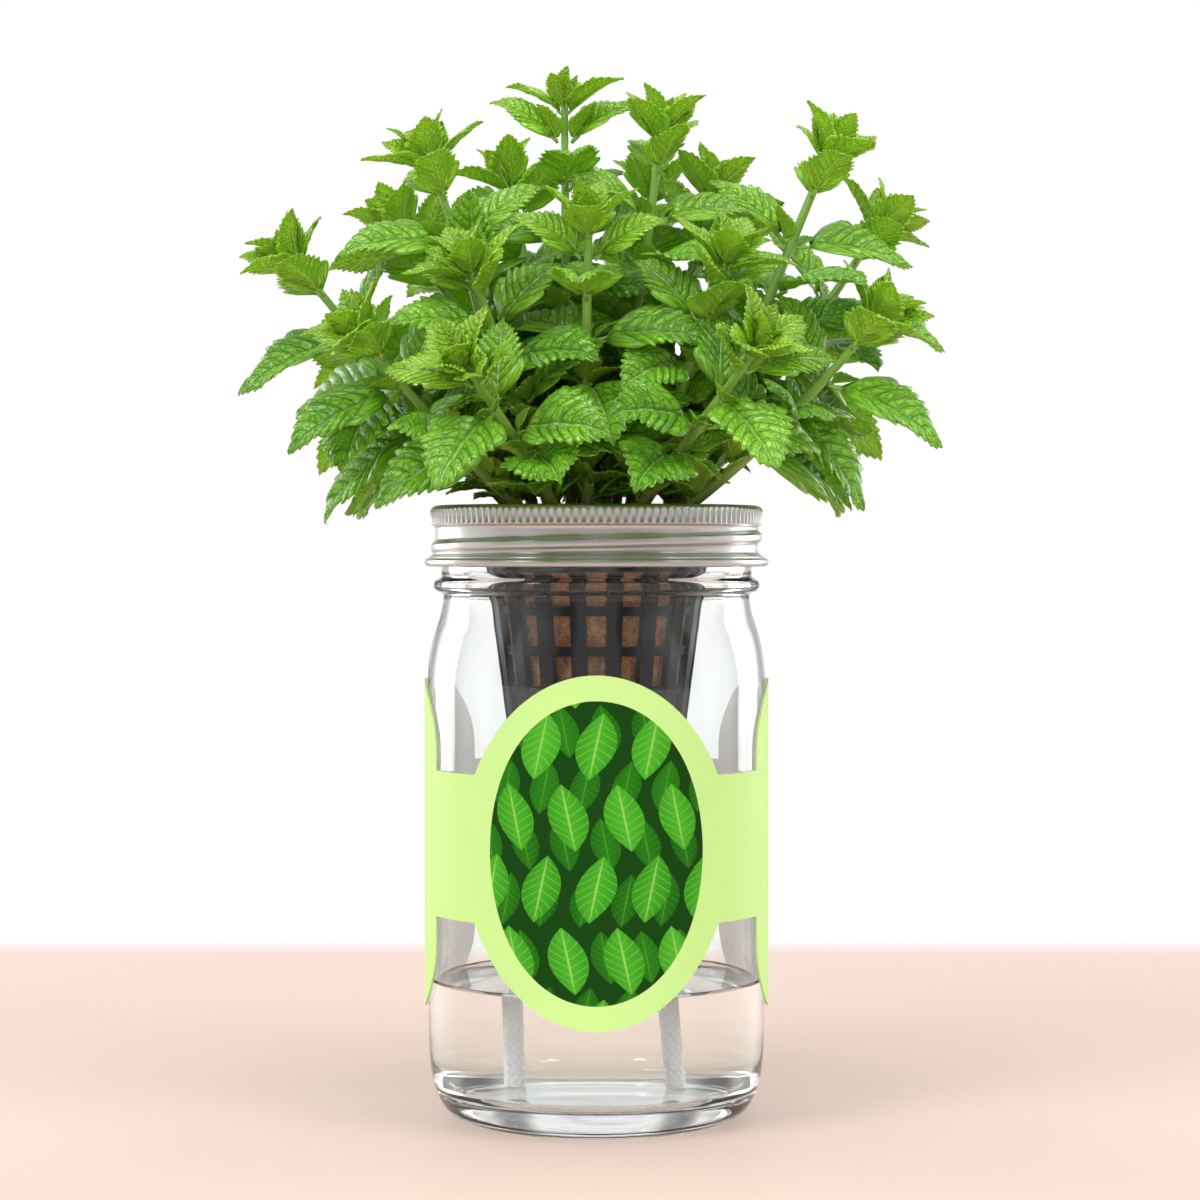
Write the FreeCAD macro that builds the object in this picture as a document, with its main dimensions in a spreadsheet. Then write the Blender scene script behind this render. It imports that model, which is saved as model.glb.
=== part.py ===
import FreeCAD, Part
import math
import os
import Sketcher

# Hydroponic jar planter: a wide mouthed preserving jar with a screw band, a net pot that hangs
# in the mouth on a lid insert, a coir plug with wicks, a card sleeve and a bushy mint plant.
# Millimetres, +Z up, origin at the middle of the jar's foot on the surface that it stands on.
# Azimuth 0 is +X. The front of the jar faces -Y.

doc = FreeCAD.newDocument("JarPlanter")

# Driving dimensions, by the piece that they belong to
sizes = {
    # glass jar, outside
    "rimHeight": 170.3,
    "footRingInner": 27.0,
    "footRingOuter": 36.0,
    "puntRise": 3.0,
    "heelHeight": 18.0,
    "bodyRadius": 47.3,
    "shoulderHeight": 22.5,
    "neckRadius": 42.8,
    "beadNeck": 1.1,
    "beadHeight": 4.6,
    "beadRadius": 45.6,
    "beadSlope": 1.3,
    "finishHeight": 19.1,
    "finishRadius": 43.4,
    "rimChamfer": 0.9,
    # glass jar, inside
    "glassWall": 3.0,
    "floorHeight": 8.6,
    "floorRadius": 32.0,
    "innerHeelHeight": 23.0,
    # glass jar, screw thread
    "threadPitch": 6.35,
    "threadTurns": 1.15,
    "threadDrop": 13.9,
    "threadRadius": 45.4,
    "threadFoot": 3.4,
    "threadCrest": 1.2,
    "threadSunk": 0.4,
    # screw band
    "bandGauge": 0.4,
    "bandOpening": 39.0,
    "bandCorner": 1.1,
    "knurlRadius": 46.5,
    "knurlDepth": 0.4,
    "knurlHeight": 3.9,
    "knurlCount": 66,
    "knurlStep": 1.3,
    "bandNeckRadius": 45.1,
    "curlRadius": 1.2,
    "curlDrop": 14.7,
    "curlReach": 48.1,
    "flareDrop": 11.7,
    "flareFall": 1.1,
    "rolledRadius": 46.25,
    "rolledFoot": 4.2,
    "rolledCrest": 1.7,
    "rolledRunOn": 0.05,
    # lid insert
    "insertGauge": 0.7,
    "insertRadius": 43.2,
    "insertWellGap": 0.7,
    "insertWellDepth": 2.8,
    "insertHoleGap": 0.6,
    # net pot
    "potTopRadius": 31.6,
    "potFootRadius": 22.8,
    "potDepth": 71.0,
    "potWall": 1.5,
    "potLipRadius": 36.6,
    "potLipHeight": 1.6,
    "potCollarHeight": 15.5,
    "potFloor": 1.8,
    "ribCount": 18,
    "ribWidth": 4.0,
    "ribProud": 0.8,
    "hoopHeight": 2.5,
    "hoopCount": 4,
    "drainHole": 1.8,
    "drainCircle": 9.0,
    "drainCount": 6,
    # coir plug
    "plugGap": 0.4,
    "plugTopDrop": 2.4,
    "plugEdge": 1.4,
    "wickHoleDepth": 22.0,
    # wicks
    "wickDiameter": 4.5,
    "wickGap": 0.35,
    "wickReach": 100.0,
    "wickTopGap": 0.8,
    "wickFootGap": 0.8,
    # nutrient water
    "waterHeight": 40.2,
    "waterGap": 0.1,
    # card sleeve
    "sleeveGap": 0.3,
    "cardGauge": 0.5,
    "sleeveFoot": 31.4,
    "beltFoot": 58.7,
    "beltHeight": 39.9,
    "ovalHalfWidth": 36.1,
    "ovalHalfHeight": 47.3,
    "ovalCentre": 78.5,
    "panelHalfWidth": 24.5,
    "panelBack": 5.0,
    "panelCorner": 20.0,
    # mint plant
    "plantReach": 100.0,
    "stemFootWidth": 3.0,
    "stemTipWidth": 1.6,
    "leafGauge": 0.9,
    "leafSeatGap": 0.25,
    "leafBandGap": 1.2,
}

sheet = doc.addObject("Spreadsheet::Sheet", "Sizes")
for row, (word, value) in enumerate(sizes.items(), start=1):
    sheet.set("A%d" % row, word)
    sheet.set("B%d" % row, str(value))
    sheet.setAlias("B%d" % row, word)
doc.recompute()


class Length:
    """A size with the sheet expression that gives it, so that what is worked out stays bound."""

    def __init__(self, value, text):
        self.value = value
        self.text = text

    def joined(self, other, sign, value):
        text = other.text if isinstance(other, Length) else repr(other)
        return Length(value, "(%s %s %s)" % (self.text, sign, text))

    def __add__(self, other):
        return self.joined(other, "+", self.value + plain(other))

    def __sub__(self, other):
        return self.joined(other, "-", self.value - plain(other))

    def __mul__(self, other):
        return self.joined(other, "*", self.value * plain(other))

    def __truediv__(self, other):
        return self.joined(other, "/", self.value / plain(other))


def plain(number):
    return number.value if isinstance(number, Length) else number


def size(word):
    return Length(float(sheet.get(word)), "Sizes.%s" % word)


def bind(thing, path, length):
    thing.setExpression(path, length.text)


# Sketches


def originFeature(body, role):
    for feature in body.Origin.OriginFeatures:
        if feature.Role == role:
            return feature


def newBody(label):
    body = doc.addObject("PartDesign::Body", label)
    body.Label = label
    return body


def newSketch(body, name, role="XZ_Plane"):
    sketch = body.newObject("Sketcher::SketchObject", name)
    sketch.AttachmentSupport = [(originFeature(body, role), "")]
    sketch.MapMode = "FlatFace"
    return sketch


def closedOutline(sketch, corners):
    """Straight runs through the corners, each corner held at its place by the sheet."""
    first = len(sketch.Geometry)
    count = len(corners)
    spots = [FreeCAD.Vector(plain(corner[0]), plain(corner[1])) for corner in corners]
    for index in range(count):
        sketch.addGeometry(Part.LineSegment(spots[index - 1], spots[index]), False)
    for index, corner in enumerate(corners):
        here, following = first + index, first + (index + 1) % count
        sketch.addConstraint(Sketcher.Constraint("Coincident", here, 2, following, 1))
        for kind, axis, place in (("DistanceX", -2, corner[0]), ("DistanceY", -1, corner[1])):
            if isinstance(place, Length):
                datum = Sketcher.Constraint(kind, -1, 1, here, 2, place.value)
                bind(sketch, "Constraints[%d]" % sketch.addConstraint(datum), place)
            else:
                sketch.addConstraint(Sketcher.Constraint("PointOnObject", here, 2, axis))


def revolved(body, name, corners):
    sketch = newSketch(body, name + "Outline")
    closedOutline(sketch, corners)
    doc.recompute()
    turned = body.newObject("PartDesign::Revolution", name)
    turned.Profile = sketch
    turned.ReferenceAxis = (sketch, ["V_Axis"])
    turned.Angle = 360
    doc.recompute()
    return turned


def helical(body, name, corners, kind, turns):
    sketch = newSketch(body, name + "Section")
    closedOutline(sketch, corners)
    doc.recompute()
    thread = body.newObject("PartDesign::%sHelix" % kind, name)
    thread.Profile = sketch
    thread.ReferenceAxis = (sketch, ["V_Axis"])
    thread.Mode = 0
    bind(thread, "Pitch", size("threadPitch"))
    bind(thread, "Height", size("threadPitch") * turns)
    doc.recompute()
    return thread


def shareOf(first, second, share):
    """The length that lies a share of the way from first to second."""
    return (second - first) * share + first


def quarterRound(low, high, steps, steepFirst=False):
    """Chord points of a quarter ellipse from low to high, level at low and upright at high."""
    points = []
    for step in range(1, steps + 1):
        turn = math.pi / 2 * step / steps
        across, up = math.sin(turn), 1 - math.cos(turn)
        if steepFirst:
            across, up = up, across
        points.append((shareOf(low[0], high[0], across), shareOf(low[1], high[1], up)))
    return points


def softShoulder(low, high, steps):
    """Chord points of a shoulder that starts and ends upright, with its bend shared evenly."""
    points = []
    for step in range(1, steps + 1):
        share = step / steps
        points.append(
            (
                shareOf(low[0], high[0], (1 - math.cos(math.pi * share)) / 2),
                shareOf(low[1], high[1], share),
            )
        )
    return points


# Places that several pieces share
beadTop = size("rimHeight") - size("finishHeight")
beadFoot = beadTop - size("beadHeight")
shoulderTop = beadFoot - size("beadNeck")
shoulderFoot = shoulderTop - size("shoulderHeight")
threadStart = size("rimHeight") - size("threadDrop")
wickRadius = size("wickDiameter") / 2
jarInnerRadius = size("bodyRadius") - size("glassWall")
mouthRadius = size("neckRadius") - size("glassWall")
insertTop = size("rimHeight") + size("insertGauge")
seatHeight = insertTop - size("insertWellDepth")
potFoot = seatHeight - size("potDepth")
potTop = seatHeight + size("potLipHeight")
plugTop = potTop - size("plugTopDrop")
plugFoot = potFoot + size("potFloor") + size("plugGap")
bandTop = insertTop + size("bandGauge")


def potRadiusAt(height):
    """Outside radius of the net pot's tapered wall."""
    taper = (size("potTopRadius") - size("potFootRadius")) / size("potDepth")
    return size("potFootRadius") + (height - potFoot) * taper


def innerFloorOutline(gap):
    """The inside of the jar from its floor's edge up to the straight wall, moved in by a gap."""
    edge = (size("floorRadius"), size("floorHeight") + gap)
    wall = (jarInnerRadius - gap, size("innerHeelHeight"))
    return [edge] + quarterRound(edge, wall, 2)


def helicalRidge(body, name, foot, crest, middle, footHeight, crestHeight, turns, kind="Additive"):
    low, high = middle - footHeight / 2, middle + footHeight / 2
    crestLow, crestHigh = middle - crestHeight / 2, middle + crestHeight / 2
    return helical(
        body, name, [(foot, low), (crest, crestLow), (crest, crestHigh), (foot, high)], kind, turns
    )


def makeGlassJar():
    jar = newBody("glass_jar")
    rim = size("rimHeight")
    neck = size("neckRadius")
    finish = size("finishRadius")
    chamfer = size("rimChamfer")
    bead = size("beadRadius")
    slope = size("beadSlope")
    foot = (size("footRingOuter"), 0)
    heel = (size("bodyRadius"), size("heelHeight"))
    shoulder = (size("bodyRadius"), shoulderFoot)
    innerShoulder = softShoulder((mouthRadius, shoulderTop), (jarInnerRadius, shoulderFoot), 3)
    inside = innerFloorOutline(0)
    revolved(
        jar,
        "wall",
        [
            (0, size("puntRise")),
            (size("footRingInner"), size("puntRise")),
            (size("footRingInner") + size("puntRise"), 0),
            foot,
        ]
        + quarterRound(foot, heel, 3)
        + [shoulder]
        + softShoulder(shoulder, (neck, shoulderTop), 4)
        + [
            (neck, beadFoot),
            (bead, beadFoot + slope),
            (bead, beadTop - slope),
            (finish, beadTop),
            (finish, rim - chamfer),
            (finish - chamfer, rim),
            (mouthRadius + chamfer, rim),
            (mouthRadius, rim - chamfer),
            (mouthRadius, shoulderTop),
        ]
        + innerShoulder
        + inside[::-1]
        + [(0, size("floorHeight"))],
    )
    helicalRidge(
        jar,
        "thread",
        finish - size("threadSunk"),
        size("threadRadius"),
        threadStart,
        size("threadFoot"),
        size("threadCrest"),
        size("threadTurns"),
    )
    return jar


def makeScrewBand():
    band = newBody("bandSheet")
    gauge = size("bandGauge")
    corner = size("bandCorner")
    root = size("knurlRadius") - size("knurlDepth")
    knurlTop = bandTop - corner
    knurlFoot = knurlTop - size("knurlHeight")
    neck = size("bandNeckRadius")
    neckTop = knurlFoot - size("knurlStep")
    flare = size("rimHeight") - size("flareDrop")
    flareFoot = flare - size("flareFall")
    curlMiddle = (size("curlReach") - size("curlRadius"), size("rimHeight") - size("curlDrop"))
    curl = []
    for degrees in (180, 225, 270, 315, 360, 405, 450):
        turn = math.radians(degrees)
        across = curlMiddle[0] + size("curlRadius") * math.cos(turn)
        curl.append((across, curlMiddle[1] + size("curlRadius") * math.sin(turn)))
    revolved(
        band,
        "sheetMetal",
        [
            (size("bandOpening"), bandTop - gauge),
            (root - gauge - corner, bandTop - gauge),
            (root - gauge, knurlTop),
            (root - gauge, knurlFoot),
            (neck - gauge, neckTop),
            (neck - gauge, flare),
            (curl[0][0], flareFoot),
        ]
        + curl
        + [
            (curl[0][0] + gauge, flareFoot),
            (neck, flare + gauge / 2),
            (neck, neckTop),
            (root, knurlFoot),
            (root, knurlTop),
            (root - corner, bandTop),
            (size("bandOpening"), bandTop),
        ],
    )
    runOn = size("threadTurns") + size("rolledRunOn")
    helicalRidge(
        band,
        "rolledThread",
        neck - gauge / 2,
        size("rolledRadius"),
        threadStart,
        size("rolledFoot"),
        size("rolledCrest"),
        runOn + size("rolledRunOn") / 2,
    )
    helicalRidge(
        band,
        "threadGroove",
        neck - gauge * 2,
        size("rolledRadius") - gauge,
        threadStart,
        size("rolledFoot") - gauge,
        size("rolledCrest") - gauge / 2,
        runOn,
        "Subtractive",
    )
    count = int(plain(size("knurlCount")))
    ring = []
    for step in range(2 * count + 1):
        turn = math.pi * step / count
        reach = plain(size("knurlRadius")) if step % 2 else plain(root + gauge / 4)
        ring.append(FreeCAD.Vector(reach * math.cos(turn), reach * math.sin(turn), 0))
    outer = Part.makePolygon(ring)
    inner = Part.Wire(Part.makeCircle(plain(root - gauge / 2)))
    flutes = doc.addObject("Part::Feature", "knurls")
    face = Part.makeFace([outer, inner], "Part::FaceMakerBullseye")
    flutes.Shape = face.extrude(FreeCAD.Vector(0, 0, plain(size("knurlHeight"))))
    flutes.Placement.Base = FreeCAD.Vector(0, 0, plain(knurlFoot))
    return combined("Fuse", "screw_band", band, flutes)


def makeLidInsert():
    insert = newBody("lid_insert")
    gauge = size("insertGauge")
    rim = size("rimHeight")
    well = mouthRadius - size("insertWellGap")
    hole = potRadiusAt(seatHeight) + size("insertHoleGap")
    revolved(
        insert,
        "pressing",
        [
            (hole, seatHeight - gauge),
            (well, seatHeight - gauge),
            (well, rim),
            (size("insertRadius"), rim),
            (size("insertRadius"), insertTop),
            (well - gauge, insertTop),
            (well - gauge, seatHeight),
            (hole, seatHeight),
        ],
    )
    return insert


def makeNetPot():
    pot = newBody("potMoulding")
    wall = size("potWall")
    collarFoot = seatHeight - size("potCollarHeight")
    floorTop = potFoot + size("potFloor")
    sketch = newSketch(pot, "hoopOutlines")
    closedOutline(
        sketch,
        [
            (potRadiusAt(collarFoot) - wall, collarFoot),
            (potRadiusAt(collarFoot), collarFoot),
            (potRadiusAt(seatHeight), seatHeight),
            (size("potLipRadius"), seatHeight),
            (size("potLipRadius"), potTop),
            (potRadiusAt(seatHeight) - wall, potTop),
        ],
    )
    closedOutline(
        sketch,
        [
            (0, potFoot),
            (potRadiusAt(potFoot), potFoot),
            (potRadiusAt(floorTop), floorTop),
            (0, floorTop),
        ],
    )
    hoops = int(plain(size("hoopCount")))
    for step in range(1, hoops + 1):
        middle = shareOf(floorTop, collarFoot, step / (hoops + 1))
        low, high = middle - size("hoopHeight") / 2, middle + size("hoopHeight") / 2
        closedOutline(
            sketch,
            [
                (potRadiusAt(low) - wall, low),
                (potRadiusAt(low), low),
                (potRadiusAt(high), high),
                (potRadiusAt(high) - wall, high),
            ],
        )
    doc.recompute()
    turned = pot.newObject("PartDesign::Revolution", "lipHoopsAndFloor")
    turned.Profile = sketch
    turned.ReferenceAxis = (sketch, ["V_Axis"])
    turned.Angle = 360
    doc.recompute()
    ribSketch = newSketch(pot, "ribOutline")
    ribTop = seatHeight - size("insertGauge") - size("insertHoleGap")
    proud = size("ribProud")
    closedOutline(
        ribSketch,
        [
            (potRadiusAt(potFoot) - wall, potFoot),
            (potRadiusAt(potFoot) + proud / 2, potFoot),
            (potRadiusAt(ribTop) + proud, ribTop - proud * 2),
            (potRadiusAt(ribTop) - wall / 2, ribTop),
            (potRadiusAt(ribTop) - wall, ribTop),
        ],
    )
    rib = pot.newObject("PartDesign::Pad", "rib")
    rib.Profile = ribSketch
    rib.SideType = "Symmetric"
    bind(rib, "Length", size("ribWidth"))
    doc.recompute()
    ribs = pot.newObject("PartDesign::PolarPattern", "ribs")
    ribs.Originals = [rib]
    ribs.Axis = (ribSketch, ["V_Axis"])
    ribs.Angle = 360
    bind(ribs, "Occurrences", size("ribCount"))
    pot.Tip = ribs
    doc.recompute()
    return pot


# Plain solids that cut and join


def upright(name, radius, height, middleX, middleY, foot):
    """An upright cylinder, bound to the sheet."""
    post = doc.addObject("Part::Cylinder", name)
    bind(post, "Radius", radius)
    bind(post, "Height", height)
    for letter, place in (("x", middleX), ("y", middleY), ("z", foot)):
        if isinstance(place, Length):
            bind(post, "Placement.Base." + letter, place)
    return post


def combined(kind, label, base, tool):
    result = doc.addObject("Part::" + kind, label)
    result.Base = base
    result.Tool = tool
    return result


def allOf(name, things):
    fused = doc.addObject("Part::MultiFuse", name)
    fused.Shapes = things
    return fused


# Wicks: each hangs in a blind hole of the plug, through the pot's floor, into the water.
# Places on each wick by hand, from its top down: to the right and to the back as shares of the
# wick's reach, and down as a share of the way from its top to its foot.
wickShares = {
    "wick_left": [
        (-0.170, 0, 0),
        (-0.170, 0, 0.257),
        (-0.182, -0.014, 0.518),
        (-0.178, 0.004, 0.761),
        (-0.170, 0.016, 1),
    ],
    "wick_right": [
        (0.146, 0, 0),
        (0.146, 0, 0.257),
        (0.136, 0.012, 0.518),
        (0.148, -0.006, 0.761),
        (0.170, -0.018, 1),
    ],
}
bendShare = 0.45
wickSides = 8


def wickRoute(label):
    reach = plain(size("wickReach"))
    top = plain(plugFoot + size("wickHoleDepth") - size("wickTopGap"))
    foot = plain(size("floorHeight") + size("wickFootGap"))
    places = wickShares[label]
    return [FreeCAD.Vector(x * reach, y * reach, shareOf(top, foot, down)) for x, y, down in places]


def wickHole(label, name, height, foot):
    """An upright hole round the straight top of a wick."""
    across = size("wickReach") * wickShares[label][0][0]
    return upright(label + name, wickRadius + size("wickGap"), height, across, 0, foot)


def cordPath(points):
    """Straight runs joined by tangent arcs as large as the two runs allow."""
    edges = []
    start = points[0]
    for before, corner, after in zip(points, points[1:], points[2:]):
        inward, outward = before - corner, after - corner
        halfTurn = (math.pi - inward.getAngle(outward)) / 2
        setBack = bendShare * min(inward.Length, outward.Length)
        radius = setBack / math.tan(halfTurn)
        inward.normalize()
        outward.normalize()
        first, last = corner + inward * setBack, corner + outward * setBack
        middle = (inward + outward).normalize()
        mid = corner + middle * (radius / math.cos(halfTurn) - radius)
        edges.append(Part.LineSegment(start, first).toShape())
        edges.append(Part.Arc(first, mid, last).toShape())
        start = last
    edges.append(Part.LineSegment(start, points[-1]).toShape())
    return Part.Wire(edges)


def makeWick(label):
    radius = plain(wickRadius)
    points = wickRoute(label)
    corners = []
    for step in range(wickSides + 1):
        turn = 2 * math.pi * step / wickSides
        corners.append(points[0] + FreeCAD.Vector(math.cos(turn), math.sin(turn), 0) * radius)
    wick = doc.addObject("Part::Feature", label)
    wick.Shape = cordPath(points).makePipeShell([Part.makePolygon(corners)], True, False)
    return wick


def makeCoirPlug():
    plug = newBody("plugBlank")
    inset = size("potWall") + size("plugGap")
    edge = size("plugEdge")
    revolved(
        plug,
        "plugShape",
        [
            (0, plugFoot),
            (potRadiusAt(plugFoot) - inset, plugFoot),
            (potRadiusAt(plugTop) - inset, plugTop - edge),
            (potRadiusAt(plugTop) - inset - edge, plugTop),
            (0, plugTop),
        ],
    )
    foot = plugFoot - size("plugGap")
    depth = size("wickHoleDepth") + size("plugGap")
    holes = [wickHole(label, "_blindHole", depth, foot) for label in wickShares]
    return combined("Cut", "coir_plug", plug, allOf("wickHoles", holes))


def drilledPot(pot):
    """The pot's floor with its drain holes and the two holes that the wicks hang through."""
    height = size("potFloor") * 3
    foot = potFoot - size("potFloor")
    holes = [wickHole(label, "_floorHole", height, foot) for label in wickShares]
    count = int(plain(size("drainCount")))
    for step in range(count):
        turn = math.radians(90 + 360 * step / count)
        across = size("drainCircle") * round(math.cos(turn), 6)
        back = size("drainCircle") * round(math.sin(turn), 6)
        holes.append(upright("drain%d" % step, size("drainHole"), height, across, back, foot))
    return combined("Cut", "net_pot", pot, allOf("floorHoles", holes))


def makeWater():
    water = newBody("waterFill")
    gap = size("waterGap")
    outline = innerFloorOutline(gap)
    surface = size("waterHeight")
    revolved(
        water,
        "fill",
        [(0, size("floorHeight") + gap)] + outline + [(jarInnerRadius - gap, surface), (0, surface)],
    )
    slots = []
    reach = plain(wickRadius + size("wickGap"))
    for label in wickShares:
        first, last = wickRoute(label)[-2:]
        first.z = last.z = 0
        lengthwise = (last - first).normalize()
        side = FreeCAD.Vector(-lengthwise.y, lengthwise.x, 0) * reach
        arcs = [
            Part.Arc(last - side, last + lengthwise * reach, last + side).toShape(),
            Part.LineSegment(last + side, first + side).toShape(),
            Part.Arc(first + side, first - lengthwise * reach, first - side).toShape(),
            Part.LineSegment(first - side, last - side).toShape(),
        ]
        slot = doc.addObject("Part::Feature", label + "_slot")
        slot.Shape = Part.Face(Part.Wire(arcs)).extrude(FreeCAD.Vector(0, 0, plain(surface) * 2))
        slots.append(slot)
    return combined("Cut", "nutrient_water", water, allOf("wickSlots", slots))


def makeSleeve():
    """A die cut card wrapped round the jar: a belt with an oval in front and behind and two panels."""
    inner = size("bodyRadius") + size("sleeveGap")
    outer = inner + size("cardGauge")
    low = size("ovalCentre") - size("ovalHalfHeight")
    high = size("ovalHalfHeight") * 2
    card = combined(
        "Cut",
        "cardTube",
        upright("cardOutside", outer, high, 0, 0, low),
        upright("cardInside", inner, high, 0, 0, low),
    )
    belt = upright("belt", outer * 2, size("beltHeight"), 0, 0, size("beltFoot"))
    oval = doc.addObject("Part::Ellipse", "ovalLine")
    bind(oval, "MajorRadius", size("ovalHalfHeight"))
    bind(oval, "MinorRadius", size("ovalHalfWidth"))
    oval.Placement.Rotation = FreeCAD.Rotation(FreeCAD.Vector(1, 1, 1), -120)
    bind(oval, "Placement.Base.z", size("ovalCentre"))
    ovals = doc.addObject("Part::Extrusion", "frontAndBackOvals")
    ovals.Base = oval
    ovals.DirMode = "Custom"
    ovals.Dir = FreeCAD.Vector(0, 1, 0)
    bind(ovals, "LengthFwd", outer * 3)
    ovals.Symmetric = True
    ovals.Solid = True
    panels = newBody("sidePanels")
    left, right = size("panelBack") - size("panelHalfWidth"), size("panelBack") + size("panelHalfWidth")
    foot, top = size("sleeveFoot"), shoulderFoot
    corner = size("panelCorner")
    sketch = newSketch(panels, "panelOutline", "YZ_Plane")
    closedOutline(
        sketch,
        [(right - corner, foot)]
        + quarterRound((right - corner, foot), (right, foot + corner), 5)
        + [(right, top - corner)]
        + quarterRound((right, top - corner), (right - corner, top), 5, True)
        + [(left + corner, top)]
        + quarterRound((left + corner, top), (left, top - corner), 5)
        + [(left, foot + corner)]
        + quarterRound((left, foot + corner), (left + corner, foot), 5, True),
    )
    pad = panels.newObject("PartDesign::Pad", "bothSides")
    pad.Profile = sketch
    pad.SideType = "Symmetric"
    bind(pad, "Length", outer * 3)
    doc.recompute()
    return combined("Common", "label_sleeve", card, allOf("cutShape", [belt, ovals, panels]))


# Mint plant


class Facets:
    """A closed solid of flat triangles, with what is needed to tell whether two of them cross."""

    def __init__(self, points, triangles):
        self.points = points
        self.triangles = triangles
        pairs = {tuple(sorted(pair)) for a, b, c in triangles for pair in ((a, b), (b, c), (c, a))}
        self.edges = sorted(pairs)
        self.low = [min(point[axis] for point in points) for axis in range(3)]
        self.high = [max(point[axis] for point in points) for axis in range(3)]
        self.planes = []
        for a, b, c in triangles:
            corners = (points[a], points[b], points[c])
            normal = (corners[1] - corners[0]).cross(corners[2] - corners[0])
            walls = []
            for first, second in zip(corners, corners[1:] + corners[:1]):
                inward = normal.cross(second - first)
                walls.append((inward, inward.dot(first)))
            self.planes.append((normal, normal.dot(corners[0]), walls))

    def nearBox(self, other):
        return all(self.low[a] < other.high[a] and other.low[a] < self.high[a] for a in range(3))

    def pierces(self, other):
        for normal, level, walls in other.planes:
            heights = [normal.dot(point) - level for point in self.points]
            for a, b in self.edges:
                if heights[a] * heights[b] >= 0:
                    continue
                share = heights[a] / (heights[a] - heights[b])
                spot = self.points[a] + (self.points[b] - self.points[a]) * share
                if all(inward.dot(spot) >= offset for inward, offset in walls):
                    return True
        return False

    def crosses(self, other):
        return self.nearBox(other) and (self.pierces(other) or other.pierces(self))

    def solid(self):
        shape = Part.Shape()
        shape.makeShapeFromMesh((self.points, self.triangles), plain(size("leafGauge")) * sewShare)
        return Part.makeSolid(shape)


# Each shoot by hand: the foot on the plug, two bends and the tip, as shares of the plant's reach
# to the right and to the back and of its height above the plug, then the turn of its first pair
# of leaves in degrees and its number of pairs. The height and the leaves go with the reach.
heightShare = 1.2
leafShare = 0.37
shootShares = [
    ((-0.22, -0.06, 0), (-0.26, -0.09, 0.27), (-0.31, -0.12, 0.50), (-0.46, -0.14, 0.82), 10, 7),
    ((-0.17, 0.06, 0), (-0.24, 0.10, 0.25), (-0.38, 0.16, 0.50), (-0.56, 0.20, 0.70), 80, 6),
    ((-0.21, 0.00, 0), (-0.40, -0.02, 0.17), (-0.62, -0.02, 0.37), (-0.84, -0.04, 0.60), 5, 5),
    ((-0.18, -0.12, 0), (-0.34, -0.17, 0.12), (-0.50, -0.24, 0.27), (-0.63, -0.30, 0.41), 20, 5),
    ((-0.07, 0.06, 0), (-0.08, 0.08, 0.31), (-0.09, 0.08, 0.65), (-0.09, 0.08, 0.98), 95, 7),
    ((0.02, 0.01, 0), (0.06, 0.04, 0.27), (0.14, 0.06, 0.56), (0.18, 0.06, 0.91), 15, 7),
    ((0.09, 0.09, 0), (0.14, 0.16, 0.27), (0.26, 0.24, 0.52), (0.33, 0.28, 0.79), 70, 6),
    ((0.21, -0.04, 0), (0.35, -0.08, 0.23), (0.46, -0.10, 0.48), (0.64, -0.10, 0.84), 5, 7),
    ((-0.02, -0.12, 0), (-0.03, -0.20, 0.23), (-0.03, -0.24, 0.44), (-0.02, -0.27, 0.66), 85, 6),
    ((0.20, -0.12, 0), (0.40, -0.17, 0.12), (0.58, -0.22, 0.27), (0.76, -0.26, 0.45), 170, 5),
    ((0.17, 0.04, 0), (0.40, 0.08, 0.20), (0.60, 0.12, 0.44), (0.80, 0.14, 0.69), 0, 6),
    ((-0.10, 0.15, 0), (-0.20, 0.28, 0.23), (-0.32, 0.44, 0.44), (-0.44, 0.56, 0.67), 40, 6),
    ((0.10, 0.17, 0), (0.18, 0.32, 0.25), (0.28, 0.46, 0.47), (0.40, 0.58, 0.69), 130, 6),
    ((0.00, 0.21, 0), (0.00, 0.38, 0.14), (-0.02, 0.58, 0.31), (-0.04, 0.76, 0.50), 90, 5),
    ((-0.10, -0.19, 0), (-0.16, -0.33, 0.11), (-0.24, -0.46, 0.21), (-0.34, -0.58, 0.33), 60, 5),
    ((0.10, -0.19, 0), (0.18, -0.31, 0.11), (0.30, -0.44, 0.23), (0.42, -0.56, 0.37), 120, 5),
    ((-0.19, 0.12, 0), (-0.34, 0.22, 0.14), (-0.52, 0.34, 0.27), (-0.68, 0.44, 0.41), 150, 5),
    ((0.18, 0.12, 0), (0.36, 0.24, 0.14), (0.54, 0.36, 0.29), (0.68, 0.48, 0.44), 30, 5),
    ((-0.04, 0.14, 0), (-0.10, 0.24, 0.27), (-0.20, 0.34, 0.55), (-0.25, 0.38, 0.82), 55, 6),
    ((-0.12, -0.07, 0), (-0.20, -0.17, 0.22), (-0.26, -0.26, 0.40), (-0.34, -0.32, 0.56), 35, 5),
    ((0.11, -0.06, 0), (0.20, -0.17, 0.22), (0.27, -0.26, 0.40), (0.35, -0.32, 0.58), 145, 5),
    ((0.05, 0.14, 0), (0.08, 0.24, 0.25), (0.12, 0.36, 0.50), (0.16, 0.42, 0.80), 100, 6),
]

# Leaves by their place from the tip of a stem down: length and how far they stand up from square
leafLengthShares = [0.46, 0.72, 0.9, 1.0, 1.0, 0.94, 0.84]
leafLifts = [64, 42, 26, 15, 8, 4, 2]
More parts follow.
